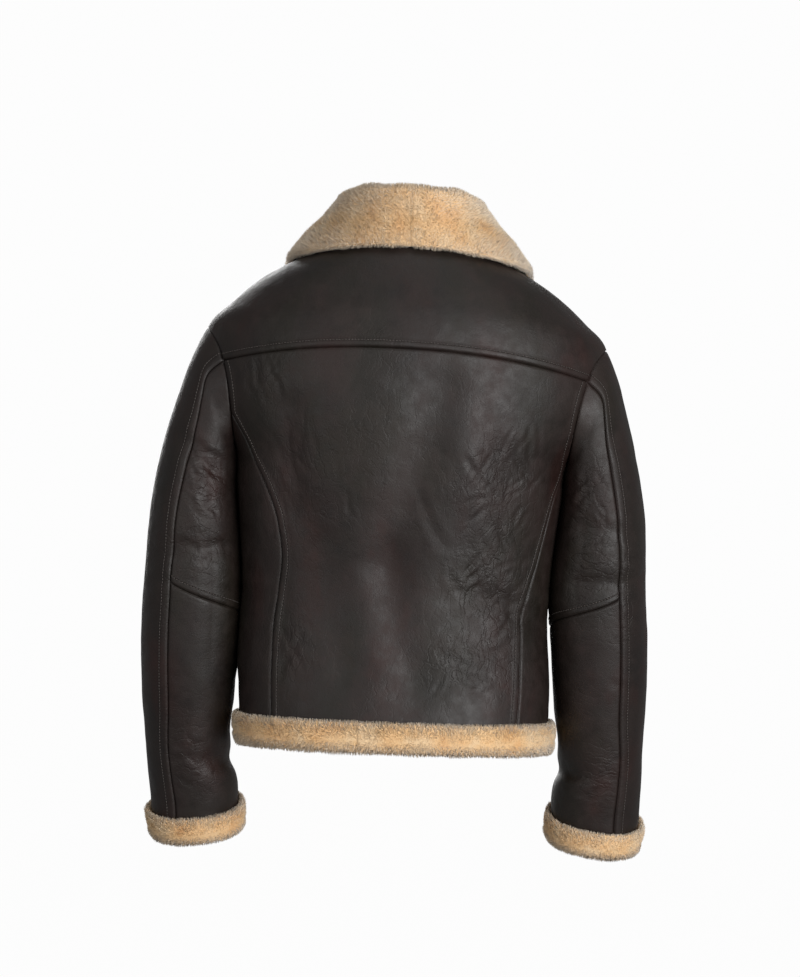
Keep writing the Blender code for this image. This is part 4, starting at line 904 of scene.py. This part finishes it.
# Thread: waxed polyester, matt dark brown
thread, tree, shader = new_material("brown waxed thread")
where = add_node(tree, "ShaderNodeTexCoord").outputs["Object"]
twist = add_node(tree, "ShaderNodeTexNoise", {"Scale": 900.0}, Vector=where)
colour = ramp(tree, twist.outputs["Fac"], [(0.3, "#37302d"), (0.7, "#524a46")])
tree.links.new(colour, shader.inputs["Base Color"])
shader.inputs["Roughness"].default_value = 0.5

torso, sleeve = torso_patches(), sleeve_patches()
grids, hands, panel_rows, outwards = {}, {}, {}, {}
for name, patch_places in torso.items():
    fine, rows, columns = fine_grid(patch_places)
    outwards[name] = torso_outwards(fine)
    grids[name], hands[name], panel_rows[name] = torso_points(fine[..., 0], fine[..., 1]), 1, (rows, columns)
for name, side in (("left", 1), ("right", -1)):
    for panel, patch_places in sleeve.items():
        fine, rows, columns = fine_grid(patch_places)
        key = panel + "_" + name
        grids[key], hands[key] = sleeve_points(fine[..., 0], fine[..., 1]) * [side, 1, 1], -side
        panel_rows[key] = (rows, columns)

# each panel laid flat, in metres and square metres: greatest width, greatest length and area
PANEL_CUTS = {
    "back_panel": (0.470, 0.450, 0.158),
    "back_yoke": (0.620, 0.300, 0.091),
    "side_panel_left": (0.125, 0.375, 0.036),
    "side_panel_right": (0.115, 0.380, 0.028),
    "front": (0.285, 0.765, 0.140),
    "outer_sleeve": (0.255, 0.605, 0.110),
    "under_sleeve_upper": (0.255, 0.270, 0.043),
    "under_sleeve_lower": (0.220, 0.300, 0.048),
}
crease_rows = CREASES + small_creases()
stitch_paths = {}
ways = met_normals(grids, hands, outwards)
grids = {name: grid - ways[name] * fold_depth(grid, ways[name])[..., None] for name, grid in grids.items()}
ways = met_normals(grids, hands, outwards)
for name, base in grids.items():
    rows, columns = panel_rows[name]
    normals = ways[name]
    distances = edge_distances(base)
    on_sleeve = "sleeve" in name
    stitched = []
    for panel, edge, place in STITCHED_EDGES:
        if panel in (name, name.replace("_left", "").replace("_right", "")):
            if edge == "zip":
                edge = "left" if name.endswith("_left") else "right"
            stitched.append((edge, place))
    calm = 1 - np.exp(-(np.minimum.reduce(list(distances.values())) / 6.0) ** 2)
    height = seam_relief(distances, stitched)
    height -= CREASE_SHARE * crease_depth(base, normals, crease_rows) * (0.3 + 0.7 * calm)
    height += calm * (0.8 * noise(base, 55.0, 3) + 0.4 * noise(base, 24.0, 4) + 0.14 * noise(base, 9.0, 5))
    height += touch_swell(base, normals, -1 if on_sleeve else 1)
    outer = base + normals * height[..., None]
    inset = np.zeros_like(outer)
    for edge, row, near in (("bottom", np.s_[0], np.s_[1]), ("top", np.s_[-1], np.s_[-2]),
                            ("left", np.s_[:, 0], np.s_[:, 1]), ("right", np.s_[:, -1], np.s_[:, -2])):
        step = outer[near] - outer[row]
        inset[row] += step / np.linalg.norm(step, axis=-1, keepdims=True) * SEAM_HALF_GAP
    outer = outer + inset
    width, length, area = PANEL_CUTS.get(name) or PANEL_CUTS[name.rsplit("_", 1)[0]]
    thickness = WALL - DITCH_DEPTH * np.exp(-(np.minimum.reduce(list(distances.values())) / 3.0) ** 2)
    piece, is_outer = add_shell(name + "_leather", outer, rows, columns, normals, thickness[..., None],
                                [nappa, lining])
    from_stitch = np.full(base.shape[:2], 50.0)
    for edge, place in stitched:
        off = distances[edge] - place
        from_stitch = np.where(np.abs(off) < np.abs(from_stitch), off, from_stitch)
    for attribute, values in (("stitch", from_stitch), ("crumple", crumple(base, normals)),
                              ("upright", np.full(base.shape[:2], 0.0 if on_sleeve else 1.0))):
        whole = np.full(len(is_outer), 50.0 if attribute == "stitch" else 0.0)
        whole[is_outer] = values.ravel()
        set_attribute(piece, attribute, whole)
    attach(piece, "jacket")
    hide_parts(name)
    for edge, place in stitched:
        distance = distances[edge]
        grid_t, distance_t = (outer, distance) if edge in ("bottom", "top") else (
            np.swapaxes(outer, 0, 1), distance.T)
        if edge in ("top", "right"):
            grid_t, distance_t = grid_t[::-1], distance_t[::-1]
        normal_t = normals if edge in ("bottom", "top") else np.swapaxes(normals, 0, 1)
        if edge in ("top", "right"):
            normal_t = normal_t[::-1]
        index = (distance_t < place).sum(0) - 1
        pick = np.arange(grid_t.shape[1])
        part = (place - distance_t[index, pick]) / (distance_t[index + 1, pick] - distance_t[index, pick])
        line = grid_t[index, pick] * (1 - part[:, None]) + grid_t[index + 1, pick] * part[:, None]
        stitch_paths.setdefault(name, []).append((line, normal_t[index, pick]))

# Topstitching
# Lines of lockstitch in thick waxed thread, 6 stitches to 25 mm, each stitch sunk a little in the
# leather at both ends. They hold the turned seam edges flat.
STITCH_RING = 6


def stitches(line, up):
    """Stitches as short closed rods along a line: six-sided rings that shrink and sink at both ends."""
    length = np.concatenate([[0], np.cumsum(np.linalg.norm(np.diff(line, axis=0), axis=1))])
    centre = np.arange(STITCH_PITCH, length[-1] - STITCH_PITCH / 2, STITCH_PITCH)
    offset = np.array([-0.5, -0.3, 0.3, 0.5]) * STITCH_LENGTH
    at = centre[:, None] + offset
    spine = np.stack([np.interp(at, length, line[:, k]) for k in range(3)], -1)
    above = np.stack([np.interp(at, length, up[:, k]) for k in range(3)], -1)
    above /= np.linalg.norm(above, axis=-1, keepdims=True)
    along = spine[:, -1:] - spine[:, :1]
    along = along / np.linalg.norm(along, axis=-1, keepdims=True)
    aside = np.cross(along, above)
    spine = spine + above * np.array([-0.35, 0.22, 0.22, -0.35])[None, :, None]
    size = np.array([0.45, 1.0, 1.0, 0.45]) * STITCH_HALF_WIDTH
    turn = np.arange(STITCH_RING) * math.tau / STITCH_RING
    ring = (np.cos(turn)[:, None] * aside[:, :, None] + np.sin(turn)[:, None] * above[:, :, None])
    points = spine[:, :, None] + ring * size[None, :, None, None]
    one = grid_quads(4, STITCH_RING, wrap=True)
    each = np.arange(len(centre)) * 4 * STITCH_RING
    quads = (one[None] + each[:, None, None]).reshape(-1, 4)
    ends = np.stack([np.arange(STITCH_RING)[::-1], 3 * STITCH_RING + np.arange(STITCH_RING)])
    caps = (ends[None] + each[:, None, None]).reshape(-1, STITCH_RING)
    return points.reshape(-1, 3), quads, caps


for name, lines_of_panel in stitch_paths.items():
    points, quads, caps, start = [], [], [], 0
    for line, up in lines_of_panel:
        p, q, c = stitches(line, up)
        points.append(p)
        quads.append(q + start)
        caps.append(c + start)
        start += len(p)
    piece = mesh_object(name + "_stitches", stance(np.concatenate(points)),
                        [np.concatenate(quads), np.concatenate(caps)], [thread])
    face_outwards(piece)
    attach(piece, "jacket")

# Collar
# Wool-out sheepskin in two halves joined at the centre back, a tall stand folded over on itself.
# The wool is sheared to one length, about 9 mm, and laps over the fall's lower edge.
# neck angle, stand height, spread, edge angle, edge level, hollow of the fall
COLLAR_ROWS = [
    (4.4, 15.0, 10.0, 36.0, 12.9, 0.0),
    (18.7, 19.0, 6.0, 41.0, 13.0, 0.0),
    (33.0, 24.0, 3.0, 47.0, 13.3, 0.0),
    (47.0, 29.0, 1.0, 55.0, 13.8, 1.0),
    (61.5, 35.0, 0.0, 65.0, 14.35, 3.0),
    (76.0, 40.0, 0.0, 77.0, 14.9, 6.0),
    (90.0, 43.0, 0.0, 90.0, 15.25, 7.0),
    (115.0, 45.0, 0.0, 112.0, 15.4, 6.0),
    (140.0, 45.0, 0.0, 138.0, 15.6, 4.0),
    (160.0, 42.0, 0.0, 159.0, 15.7, 2.0),
    (180.0, 40.0, 0.0, 180.0, 15.72, 2.0),
]
COLLAR_THICKNESS = [7.0, 10.0, 12.0, 12.0, 12.0, 12.0, 12.0, 12.0, 12.0, 9.0]
COLLAR_FOLD_RADIUS = 2.5
COLLAR_EDGE_LIFT = 2.5
FOLD_PLACE = 0.38
PILE = 4.5
# locks of wool on each square millimetre
WOOL_DENSITY = 0.41


def collar_columns(angles):
    """Leather side of the left collar half: a column of points per neck angle, up the stand, round
    the fold and down the fall to its edge."""
    table = np.array(COLLAR_ROWS)
    rows = smooth_rows(table[:, 1:], np.interp(angles, table[:, 0], np.arange(len(table))))
    height, spread, edge_angle, edge_level, hollow = rows.T
    base = torso_points(angles, np.full(len(angles), float(NECK)))
    out = base * [1, 1, 0]
    out /= np.linalg.norm(out, axis=1, keepdims=True)
    up = np.array([0.0, 0.0, 1.0])
    aside = np.stack([spread, np.zeros_like(spread), np.zeros_like(spread)], -1)
    radius = COLLAR_FOLD_RADIUS
    centre = base + up * (height - radius)[:, None] + out * radius + aside
    edge = torso_points(edge_angle, edge_level)
    over = edge - torso_points(edge_angle, edge_level + 0.05)
    around = torso_points(edge_angle + 1, edge_level) - edge
    edge_out = np.cross(around, over)
    edge_out *= np.sign(np.sum(edge_out * out, axis=1, keepdims=True))
    edge_out /= np.linalg.norm(edge_out, axis=1, keepdims=True)
    edge = edge + edge_out * COLLAR_EDGE_LIFT
    column = [base, base + (centre - out * radius - base) * 0.5]
    for turned in np.radians([180, 135, 90, 45, 0]):
        column.append(centre + radius * (math.cos(turned) * out + math.sin(turned) * up))
    top = column[-1]
    for part in (0.33, 0.67):
        column.append(top + (edge - top) * part - edge_out * (hollow * math.sin(math.pi * part))[:, None])
    column.append(edge)
    return np.stack(column, 0)


def finer(rows, count):
    """The rows of a grid carried on a smooth curve to count rows, even in length along the first column."""
    spans = np.linalg.norm(np.diff(rows.reshape(len(rows), -1), axis=0), axis=1)
    length = np.concatenate([[0], np.cumsum(spans)])
    place = np.interp(np.linspace(0, length[-1], count), length, np.arange(len(rows)))
    flat = smooth_rows(rows.reshape(len(rows), -1), place)
    return flat.reshape((count,) + rows.shape[1:])


# Sheared wool: dense crimped fibre of one length, honey at the root and cream at the tip, paler at
# the edges, with soft light that wraps round it
wool, tree, shader = new_material("sheared wool")
where = add_node(tree, "ShaderNodeTexCoord").outputs["Object"]
tip = add_node(tree, "ShaderNodeAttribute", {"attribute_name": "tip"}).outputs["Fac"]
pale = add_node(tree, "ShaderNodeAttribute", {"attribute_name": "pale"}).outputs["Fac"]
mottle = add_node(tree, "ShaderNodeTexNoise", {"Scale": 26.0, "Detail": 3.0, "Roughness": 0.6}, Vector=where)
body = ramp(tree, mottle.outputs["Fac"], [(0.35, "#efd9b4"), (0.5, "#ecca9a"), (0.66, "#e4b781")])
lightened = add_node(tree, "ShaderNodeMix", {"data_type": "RGBA", 7: linear("#f7e6cd")}, _0=pale, _6=body)
rooted = add_node(tree, "ShaderNodeMix", {"data_type": "RGBA", 6: linear("#bf915c")}, _0=tip,
                  _7=lightened.outputs[2])
tree.links.new(rooted.outputs[2], shader.inputs["Base Color"])
shader.inputs["Roughness"].default_value = 0.9
shader.inputs["Sheen Weight"].default_value = 0.25
shader.inputs["Sheen Roughness"].default_value = 0.5


def spread_over(grid, density, seed):
    """Random places on a grid of cells, as (row, column) positions: more of them in larger cells and
    where density, a number per cell, is higher. density is in locks for each square millimetre."""
    draw = np.random.default_rng(seed)
    area = np.linalg.norm(np.cross(grid[1:, :-1] - grid[:-1, :-1], grid[:-1, 1:] - grid[:-1, :-1]), axis=-1)
    wanted = (area * density).ravel()
    count = np.floor(wanted + draw.uniform(0, 1, len(wanted))).astype(int)
    cell = np.repeat(np.arange(len(wanted)), count)
    return cell // area.shape[1] + draw.uniform(0, 1, len(cell)), cell % area.shape[1] + draw.uniform(0, 1, len(cell))


def on_grid(grid, row, column):
    """A grid's values at fractional rows and columns, blended from the four nearest points."""
    low_r = np.minimum(row.astype(int), grid.shape[0] - 2)
    low_c = np.minimum(column.astype(int), grid.shape[1] - 2)
    r, c = (row - low_r)[:, None], (column - low_c)[:, None]
    return ((1 - r) * (1 - c) * grid[low_r, low_c] + (1 - r) * c * grid[low_r, low_c + 1]
            + r * (1 - c) * grid[low_r + 1, low_c] + r * c * grid[low_r + 1, low_c + 1])


def add_wool(name, roots, tips, pale_grid, density, seed, comb=0.25):
    """Wool as a lock on every random place: a slim three-sided spike from the root surface to the
    tip surface, with its tip pulled towards those of its clump and combed a little one way."""
    row, column = spread_over(tips, density, seed)
    root, tip_point = on_grid(roots, row, column), on_grid(tips, row, column)
    shade = on_grid(pale_grid[..., None], row, column)[:, 0]
    draw = np.random.default_rng(seed + 1)
    stand = tip_point - root
    length = np.linalg.norm(stand, axis=1, keepdims=True)
    away = stand / np.maximum(length, 1e-6)
    drift = np.stack([noise(root, 11.0, seed + k) for k in (2, 3, 4)], -1)
    small = np.stack([noise(root, 3.2, seed + k) for k in (5, 6, 7)], -1)
    lean = comb * drift + 0.22 * small + draw.normal(0, 0.10, (len(root), 3))
    lean -= away * np.sum(lean * away, axis=1, keepdims=True)
    reach = length * (1 + 0.08 * noise(root, 6.0, seed + 8)[:, None] + draw.normal(0, 0.035, (len(root), 1)))
    end = root + away * reach + lean * reach
    across = np.cross(away, draw.normal(0, 1, (len(root), 3)))
    across /= np.maximum(np.linalg.norm(across, axis=1, keepdims=True), 1e-9)
    third = np.cross(away, across)
    size = 0.62 * draw.uniform(0.8, 1.25, (len(root), 1))
    corners = [root + size * (math.cos(a) * across + math.sin(a) * third) for a in (0.0, math.tau / 3, 2 * math.tau / 3)]
    points = np.stack(corners + [end], 1)
    number = np.arange(len(root))[:, None, None] * 4
    faces = (np.array([[0, 1, 3], [1, 2, 3], [2, 0, 3], [0, 2, 1]])[None] + number).reshape(-1, 3)
    piece = mesh_object(name, stance(points.reshape(-1, 3)), [faces], [wool])
    set_attribute(piece, "tip", np.tile([0.25, 0.25, 0.25, 1.0], len(root)))
    set_attribute(piece, "pale", np.repeat(np.clip(shade + draw.normal(0, 0.12, len(root)), 0, 1), 4))
    normal = stance(points + away[:, None] * 0.01)[:, :, :] - stance(points)
    normal += 0.0028 * draw.normal(0, 1, (len(root), 1, 3))
    normal = (normal / np.linalg.norm(normal, axis=-1, keepdims=True)).reshape(-1, 3)
    piece.data.normals_split_custom_set_from_vertices(normal.astype(np.float32))
    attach(piece, "jacket")
    return piece


neck_angles = np.concatenate([np.linspace(float(slot_angle(np.array(float(NECK)), SLOT_HALF)), 90, 41),
                              np.linspace(90, 180, 41)[1:]])
for name, side in (("left", 1), ("right", -1)):
    skin = collar_columns(neck_angles)
    thickness = np.array(COLLAR_THICKNESS)[:, None]
    rough_normals = grid_normals(skin, 1)
    wool_side = skin - rough_normals * thickness[..., None]
    both = finer(np.concatenate([skin, wool_side, np.repeat(thickness, skin.shape[1], 1)[..., None]], -1), 44)
    skin, wool_side, thick = both[..., :3], both[..., 3:6], both[..., 6:]
    away = wool_side - skin
    away /= np.linalg.norm(away, axis=-1, keepdims=True)
    roots = wool_side - away * np.minimum(PILE, thick - 2.5)
    # three more rows turn the wool round the fall's lower edge, and three columns round the front end
    past = skin[-1] - skin[-3]
    past /= np.linalg.norm(past, axis=-1, keepdims=True)
    end = skin[:, 0] - skin[:, 2]
    end /= np.linalg.norm(end, axis=-1, keepdims=True)
    root_rows, tip_rows = [roots], [wool_side]
    for turned in np.radians([35, 70, 105, 140]):
        direction = away[-1] * math.cos(turned) + past * math.sin(turned)
        root_row = roots[-1] - past * 3.0 + past * 1.5 * math.sin(turned) - away[-1] * 1.2 * (1 - math.cos(turned))
        root_rows.append(root_row[None])
        tip_rows.append((root_row + direction * 5.0)[None])
    roots_wide, tips_wide = np.concatenate(root_rows), np.concatenate(tip_rows)
    front_end = np.concatenate([end, np.repeat(end[-1:], 4, 0)])
    spread = np.concatenate([away, np.repeat(away[-1:], 4, 0)])[:, 0]
    root_columns, tip_columns = [], []
    for turned in np.radians([120, 80, 40]):
        direction = spread * math.cos(turned) + front_end * math.sin(turned)
        root_column = roots_wide[:, 0] - front_end * 3.0 + front_end * 1.5 * math.sin(turned)
        root_columns.append(root_column[:, None])
        tip_columns.append((root_column + direction * 4.5)[:, None])
    roots_wide = np.concatenate(root_columns + [roots_wide], 1)
    tips_wide = np.concatenate(tip_columns + [tips_wide], 1)
    # the wool of the fall swells towards the sides, parts at the centre back and is palest at its edges
    pile = tips_wide - roots_wide
    pile /= np.linalg.norm(pile, axis=-1, keepdims=True)
    place = np.linspace(0, 1, tips_wide.shape[0])[:, None]
    fall = np.clip((place - FOLD_PLACE) / (1 - FOLD_PLACE), 0, 1)
    sideways = np.clip(np.abs(tips_wide[..., 0]) / 110.0, 0, 1)
    swell = (1.0 + 5.5 * sideways) * np.sin(math.pi * fall) ** 0.8 + 1.2 * noise(tips_wide, 22.0, 31)
    swell -= 4.0 * np.exp(-(tips_wide[..., 0] / 2.2) ** 2) * np.clip((fall - 0.72) / 0.2, 0, 1)
    tips_wide = tips_wide + pile * (swell * (place > 0.1))[..., None]
    roots_wide = roots_wide + pile * (0.7 * np.maximum(swell, 0) * (place > 0.1))[..., None]
    last = tips_wide[:, -1:] - tips_wide[:, -2:-1]
    tips_wide = np.concatenate([tips_wide, tips_wide[:, -1:] + 0.3 * last], 1)
    roots_wide = np.concatenate([roots_wide, roots_wide[:, -1:] + 0.3 * last], 1)
    pale_grid = np.abs(fall - 0.45) * 1.9 + 0.35 * noise(tips_wide, 26.0, 32) - 0.1
    pale_grid = np.clip(pale_grid + 0.3 * np.clip(np.abs(tips_wide[..., 0]) / 120.0, 0, 1), 0, 1)
    roots = roots_wide[:len(skin), len(root_columns):-1]
    base_piece_points = np.concatenate([skin.reshape(-1, 3), roots.reshape(-1, 3)])
    rows_count, columns_count = skin.shape[:2]
    count = rows_count * columns_count
    ring, _ = ring_of(np.arange(rows_count, dtype=float), np.arange(columns_count, dtype=float))
    rim = np.stack([ring, ring + count, np.roll(ring, -1) + count, np.roll(ring, -1)], -1)
    faces = [grid_quads(rows_count, columns_count), grid_quads(rows_count, columns_count, start=count)[:, ::-1], rim]
    mirror = [side, 1, 1]
    piece = mesh_object("collar_" + name + "_skin", stance(base_piece_points * mirror), faces, [nappa, wool],
                        np.repeat([0, 1, 1], [len(f) for f in faces]))
    set_attribute(piece, "tip", np.full(len(base_piece_points), 0.6))
    set_attribute(piece, "pale", np.full(len(base_piece_points), 0.2))
    face_outwards(piece)
    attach(piece, "jacket")
    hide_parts("collar_" + name)
    locks = add_wool("collar_" + name + "_wool", roots_wide * mirror, tips_wide * mirror, pale_grid,
                     WOOL_DENSITY, 40 + 20 * side)
    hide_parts("collar_" + name)

# Hem and cuffs
# The sheepskin turned up to the outside with its wool showing, about 43 mm tall at the hem and 40
# at the cuffs, sewn down under the wool's upper edge. The hem's strip is joined left of the back.
# distance out from the leather and past its edge: where the wool ends, and where its roots are
HEM_TIPS = [(1.2, 0.4), (1.8, -6.0), (5.5, -7.0), (9.0, -2.5), (10.0, 8.0),
            (9.6, 20.0), (7.0, 31.0), (1.0, 36.0), (-4.5, 33.0), (-7.0, 26.0), (-7.0, 1.1)]
HEM_ROOTS = [(1.0, 1.6), (2.2, -2.2), (4.6, -3.2), (6.2, 0.5), (6.6, 9.0),
             (6.2, 19.0), (4.4, 27.6), (0.4, 31.6), (-2.6, 29.4), (-4.2, 24.0), (-4.6, 2.4)]
CUFF_TIPS = [(1.2, 0.4), (1.8, -6.0), (5.5, -7.0), (8.6, -2.0), (9.4, 8.0),
             (8.8, 20.0), (6.0, 29.0), (0.0, 33.0), (-4.5, 31.0), (-7.0, 24.0), (-7.0, 1.1)]
CUFF_ROOTS = [(1.0, 1.6), (2.2, -2.2), (4.4, -3.0), (5.8, 0.8), (6.2, 9.0),
              (5.6, 18.6), (3.6, 26.0), (-0.3, 29.0), (-2.9, 27.2), (-4.2, 22.5), (-4.6, 2.4)]
HEM_SEAM_X = 43.0
BAND_ROWS = 40


def edge_directions(points, up, closed):
    """Level direction out of an edge line that runs round the body or arm."""
    along = np.roll(points, -1, 0) - np.roll(points, 1, 0) if closed else np.gradient(points, axis=0)
    out = np.cross(along, up)
    out /= np.linalg.norm(out, axis=1, keepdims=True)
    return out * np.sign(np.sum(out * (points - points.mean(0)), axis=1, keepdims=True))


def round_section(profile, count):
    """A closed profile at count even places, on a smooth curve through its points."""
    looped = np.concatenate([profile, profile[:1]])
    return finer(np.array(looped), count + 1)[:-1]


def band_surface(section, points, out, past):
    """A section carried along an edge: one column of points for each point of the edge."""
    return points[None] + section[:, None, :1] * out[None] + section[:, None, 1:] * past


def add_band(name, points, out, past, tips, roots, closed, side, density, seed, split_height):
    """A turned-up wool band: a closed core with its wool, which parts a little along its middle."""
    tip_section, root_section = round_section(tips, BAND_ROWS), round_section(roots, BAND_ROWS)
    tip_grid = band_surface(tip_section, points, out, past)
    root_grid = band_surface(root_section, points, out, past)
    low = np.array([0, 0, -1.0]) if np.ndim(past) == 1 else past
    parted = split_height + 2.0 * noise(tip_grid, 30.0, seed + 9) + 1.0 * noise(tip_grid, 8.0, seed + 10)
    height = np.repeat(tip_section[:, 1:], tip_grid.shape[1], 1)
    outside = np.clip(np.repeat(tip_section[:, :1], tip_grid.shape[1], 1) / 6.0, 0, 1)
    dent = 2.2 * np.exp(-((height - parted) / 2.4) ** 2) * outside
    edge_bulge = noise(tip_grid, 12.0, seed + 11) * 1.1 + noise(tip_grid, 5.0, seed + 12) * 0.6
    away = tip_grid - root_grid
    away /= np.linalg.norm(away, axis=-1, keepdims=True)
    tip_grid = tip_grid + away * (edge_bulge - 0.6 - dent)[..., None]
    pale_grid = np.clip((height - split_height) / 10.0, 0, 1) * 0.8 + np.clip((3 - height) / 8, 0, 1) * 0.6
    pale_grid = np.clip(pale_grid + 0.4 * noise(tip_grid, 34.0, seed + 13) + 0.15, 0, 1)
    if closed:
        tip_grid = np.concatenate([tip_grid, tip_grid[:, :1]], 1)
        root_closed = np.concatenate([root_grid, root_grid[:, :1]], 1)
        pale_grid = np.concatenate([pale_grid, pale_grid[:, :1]], 1)
    else:
        root_closed = root_grid
    mirror = [side, 1, 1]
    rows_count, columns_count = root_grid.shape[:2]
    swapped = np.swapaxes(root_grid, 0, 1).reshape(-1, 3)
    if closed:
        number = np.arange(rows_count * columns_count).reshape(columns_count, rows_count)
        number = np.concatenate([number, number[:1]])
        number = np.concatenate([number, number[:, :1]], 1)
        faces = [np.stack([number[:-1, :-1], number[:-1, 1:], number[1:, 1:], number[1:, :-1]], -1).reshape(-1, 4)]
    else:
        faces = [grid_quads(columns_count, rows_count, wrap=True),
                 np.arange(rows_count)[None], (columns_count - 1) * rows_count + np.arange(rows_count)[None, ::-1]]
    piece = mesh_object(name + "_skin", stance(swapped * mirror), faces, [wool])
    set_attribute(piece, "tip", np.full(len(swapped), 0.6))
    set_attribute(piece, "pale", np.full(len(swapped), 0.1))
    face_outwards(piece)
    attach(piece, "jacket")
    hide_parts(name)
    inward = np.clip(-tip_section[:, 0] / 5.0, 0, 1)[:-1, None]
    inward[-1] = 1.0
    cells = np.repeat(density * (1 - 0.6 * inward), tip_grid.shape[1] - 1, 1)
    locks = add_wool(name + "_wool", root_closed * mirror, tip_grid * mirror, pale_grid, cells, seed)
    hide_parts(name)
    return piece, locks


up = np.array([0.0, 0.0, 1.0])
back_depth = smooth_rows(TORSO_RINGS, float(HEM))[4]
seam = 180 - math.degrees(math.atan2(HEM_SEAM_X, back_depth))
front_start = float(slot_angle(np.array(float(HEM)), SLOT_HALF))
SEAM_HALF_ANGLE, HEM_ROUND, HEM_STEP = 0.05, 1050.0, 4.0
for name, first, last in (("hem_band_left", front_start, seam - SEAM_HALF_ANGLE),
                          ("hem_band_right", seam + SEAM_HALF_ANGLE, 360 - front_start)):
    count = int((last - first) / 360 * HEM_ROUND / HEM_STEP) + 2
    angles = np.linspace(first, last, count)
    points = torso_points(angles, np.full(count, float(HEM)))
    along_edge = np.gradient(points, axis=0)
    out = np.cross(along_edge, up)
    out /= np.linalg.norm(out, axis=1, keepdims=True)
    out *= np.sign(np.sum(out * points, axis=1, keepdims=True))
    piece, locks = add_band(name, points, out, -up, HEM_TIPS, HEM_ROOTS, False, 1, WOOL_DENSITY,
                            80 if name.endswith("left") else 110, 18.0)
    length = np.linalg.norm(np.diff(points, axis=0), axis=1).sum() / 1000

for name, side in (("cuff_left", 1), ("cuff_right", -1)):
    clocks = np.linspace(0, 360, 97)[:-1]
    points = sleeve_points(clocks, float(CUFF))
    across, rear = points[0] - points.mean(0), points[24] - points.mean(0)
    past = np.cross(across, rear)
    past /= np.linalg.norm(past) * -np.sign(past[2])
    out = edge_directions(points, past, True)
    piece, locks = add_band(name, points, out, past, CUFF_TIPS, CUFF_ROOTS, True, side, WOOL_DENSITY,
                            140 + 10 * side, 17.0)

# Zip
# A chain of brass teeth between two woven tapes, closed to the neck, with its slider at the top and
# a swinging pull. It runs behind the slot between the fronts.
tape, tree, shader = new_material("woven zip tape")
where = add_node(tree, "ShaderNodeTexCoord").outputs["Object"]
weave = add_node(tree, "ShaderNodeTexWave", {"Scale": 400.0, "bands_direction": "Z", "Distortion": 1.0}, Vector=where)
colour = ramp(tree, weave.outputs["Fac"], [(0.2, "#1c1614"), (0.8, "#302621")])
tree.links.new(colour, shader.inputs["Base Color"])
shader.inputs["Roughness"].default_value = 0.85

brass, tree, shader = new_material("aged brass")
where = add_node(tree, "ShaderNodeTexCoord").outputs["Object"]
wear = add_node(tree, "ShaderNodeTexNoise", {"Scale": 300.0, "Detail": 4.0}, Vector=where)
colour = ramp(tree, wear.outputs["Fac"], [(0.3, "#8a6f3f"), (0.7, "#c2a468")])
tree.links.new(colour, shader.inputs["Base Color"])
shader.inputs["Metallic"].default_value = 1.0
tree.links.new(ramp(tree, wear.outputs["Fac"], [(0.3, 0.42), (0.7, 0.26)]), shader.inputs["Roughness"])

TOOTH_PITCH, TOOTH_LENGTH, TOOTH_HALF_HEIGHT, TOOTH_HALF_DEPTH = 2.6, 4.6, 0.62, 1.0
for node in ("zip_tape_left", "zip_tape_right"):
    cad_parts[node].data.materials.clear()
    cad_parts[node].data.materials.append(tape)
for node in ("zip_slider", "zip_pull"):
    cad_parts[node].data.materials.clear()
    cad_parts[node].data.materials.append(brass)
levels = np.linspace(1.0, 16.1, 400)
line = torso_points(np.zeros(400), levels)
length = np.concatenate([[0], np.cumsum(np.linalg.norm(np.diff(line, axis=0), axis=1))])
centre = np.arange(2.0, length[-1], TOOTH_PITCH / 2)
spine = np.stack([np.interp(centre, length, line[:, k]) for k in range(3)], -1)
rise = np.stack([np.interp(centre + 0.5, length, line[:, k]) for k in range(3)], -1) - spine
rise[-1] = rise[-2]
rise /= np.linalg.norm(rise, axis=1, keepdims=True)
side_to = np.array([1.0, 0.0, 0.0])
outward = np.cross(side_to, rise)
hand = np.where(np.arange(len(centre)) % 2, 1.0, -1.0)[:, None]
middle = spine - outward * 1.25 + side_to * hand * 1.15
block = np.array([(a, b, c) for a in (-0.5, 0.5) for b in (-1, 1) for c in (-1, 1)], float)
bevel = np.concatenate([block * [1.0, 0.75, 0.75], block * [0.86, 1.0, 0.75], block * [0.86, 0.75, 1.0]])
corners = (middle[:, None] + bevel[None, :, :1] * TOOTH_LENGTH * side_to
           + bevel[None, :, 1:2] * TOOTH_HALF_HEIGHT * rise[:, None] + bevel[None, :, 2:] * TOOTH_HALF_DEPTH * outward[:, None])
shape = bmesh.new()
for point in bevel:
    shape.verts.new(point)
bmesh.ops.convex_hull(shape, input=shape.verts)
shape.verts.index_update()
hull = np.array([[v.index for v in f.verts] for f in shape.faces if len(f.verts) == 3])
hull_quads = [[v.index for v in f.verts] for f in shape.faces if len(f.verts) == 4]
shape.free()
each = np.arange(len(centre))[:, None, None] * len(bevel)
tooth_faces = [(hull[None] + each).reshape(-1, 3)]
if hull_quads:
    tooth_faces.append((np.array(hull_quads)[None] + each).reshape(-1, 4))
teeth = mesh_object("zip_teeth", stance(corners.reshape(-1, 3)), tooth_faces, [brass], smooth=False)
face_outwards(teeth)
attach(teeth, "jacket")
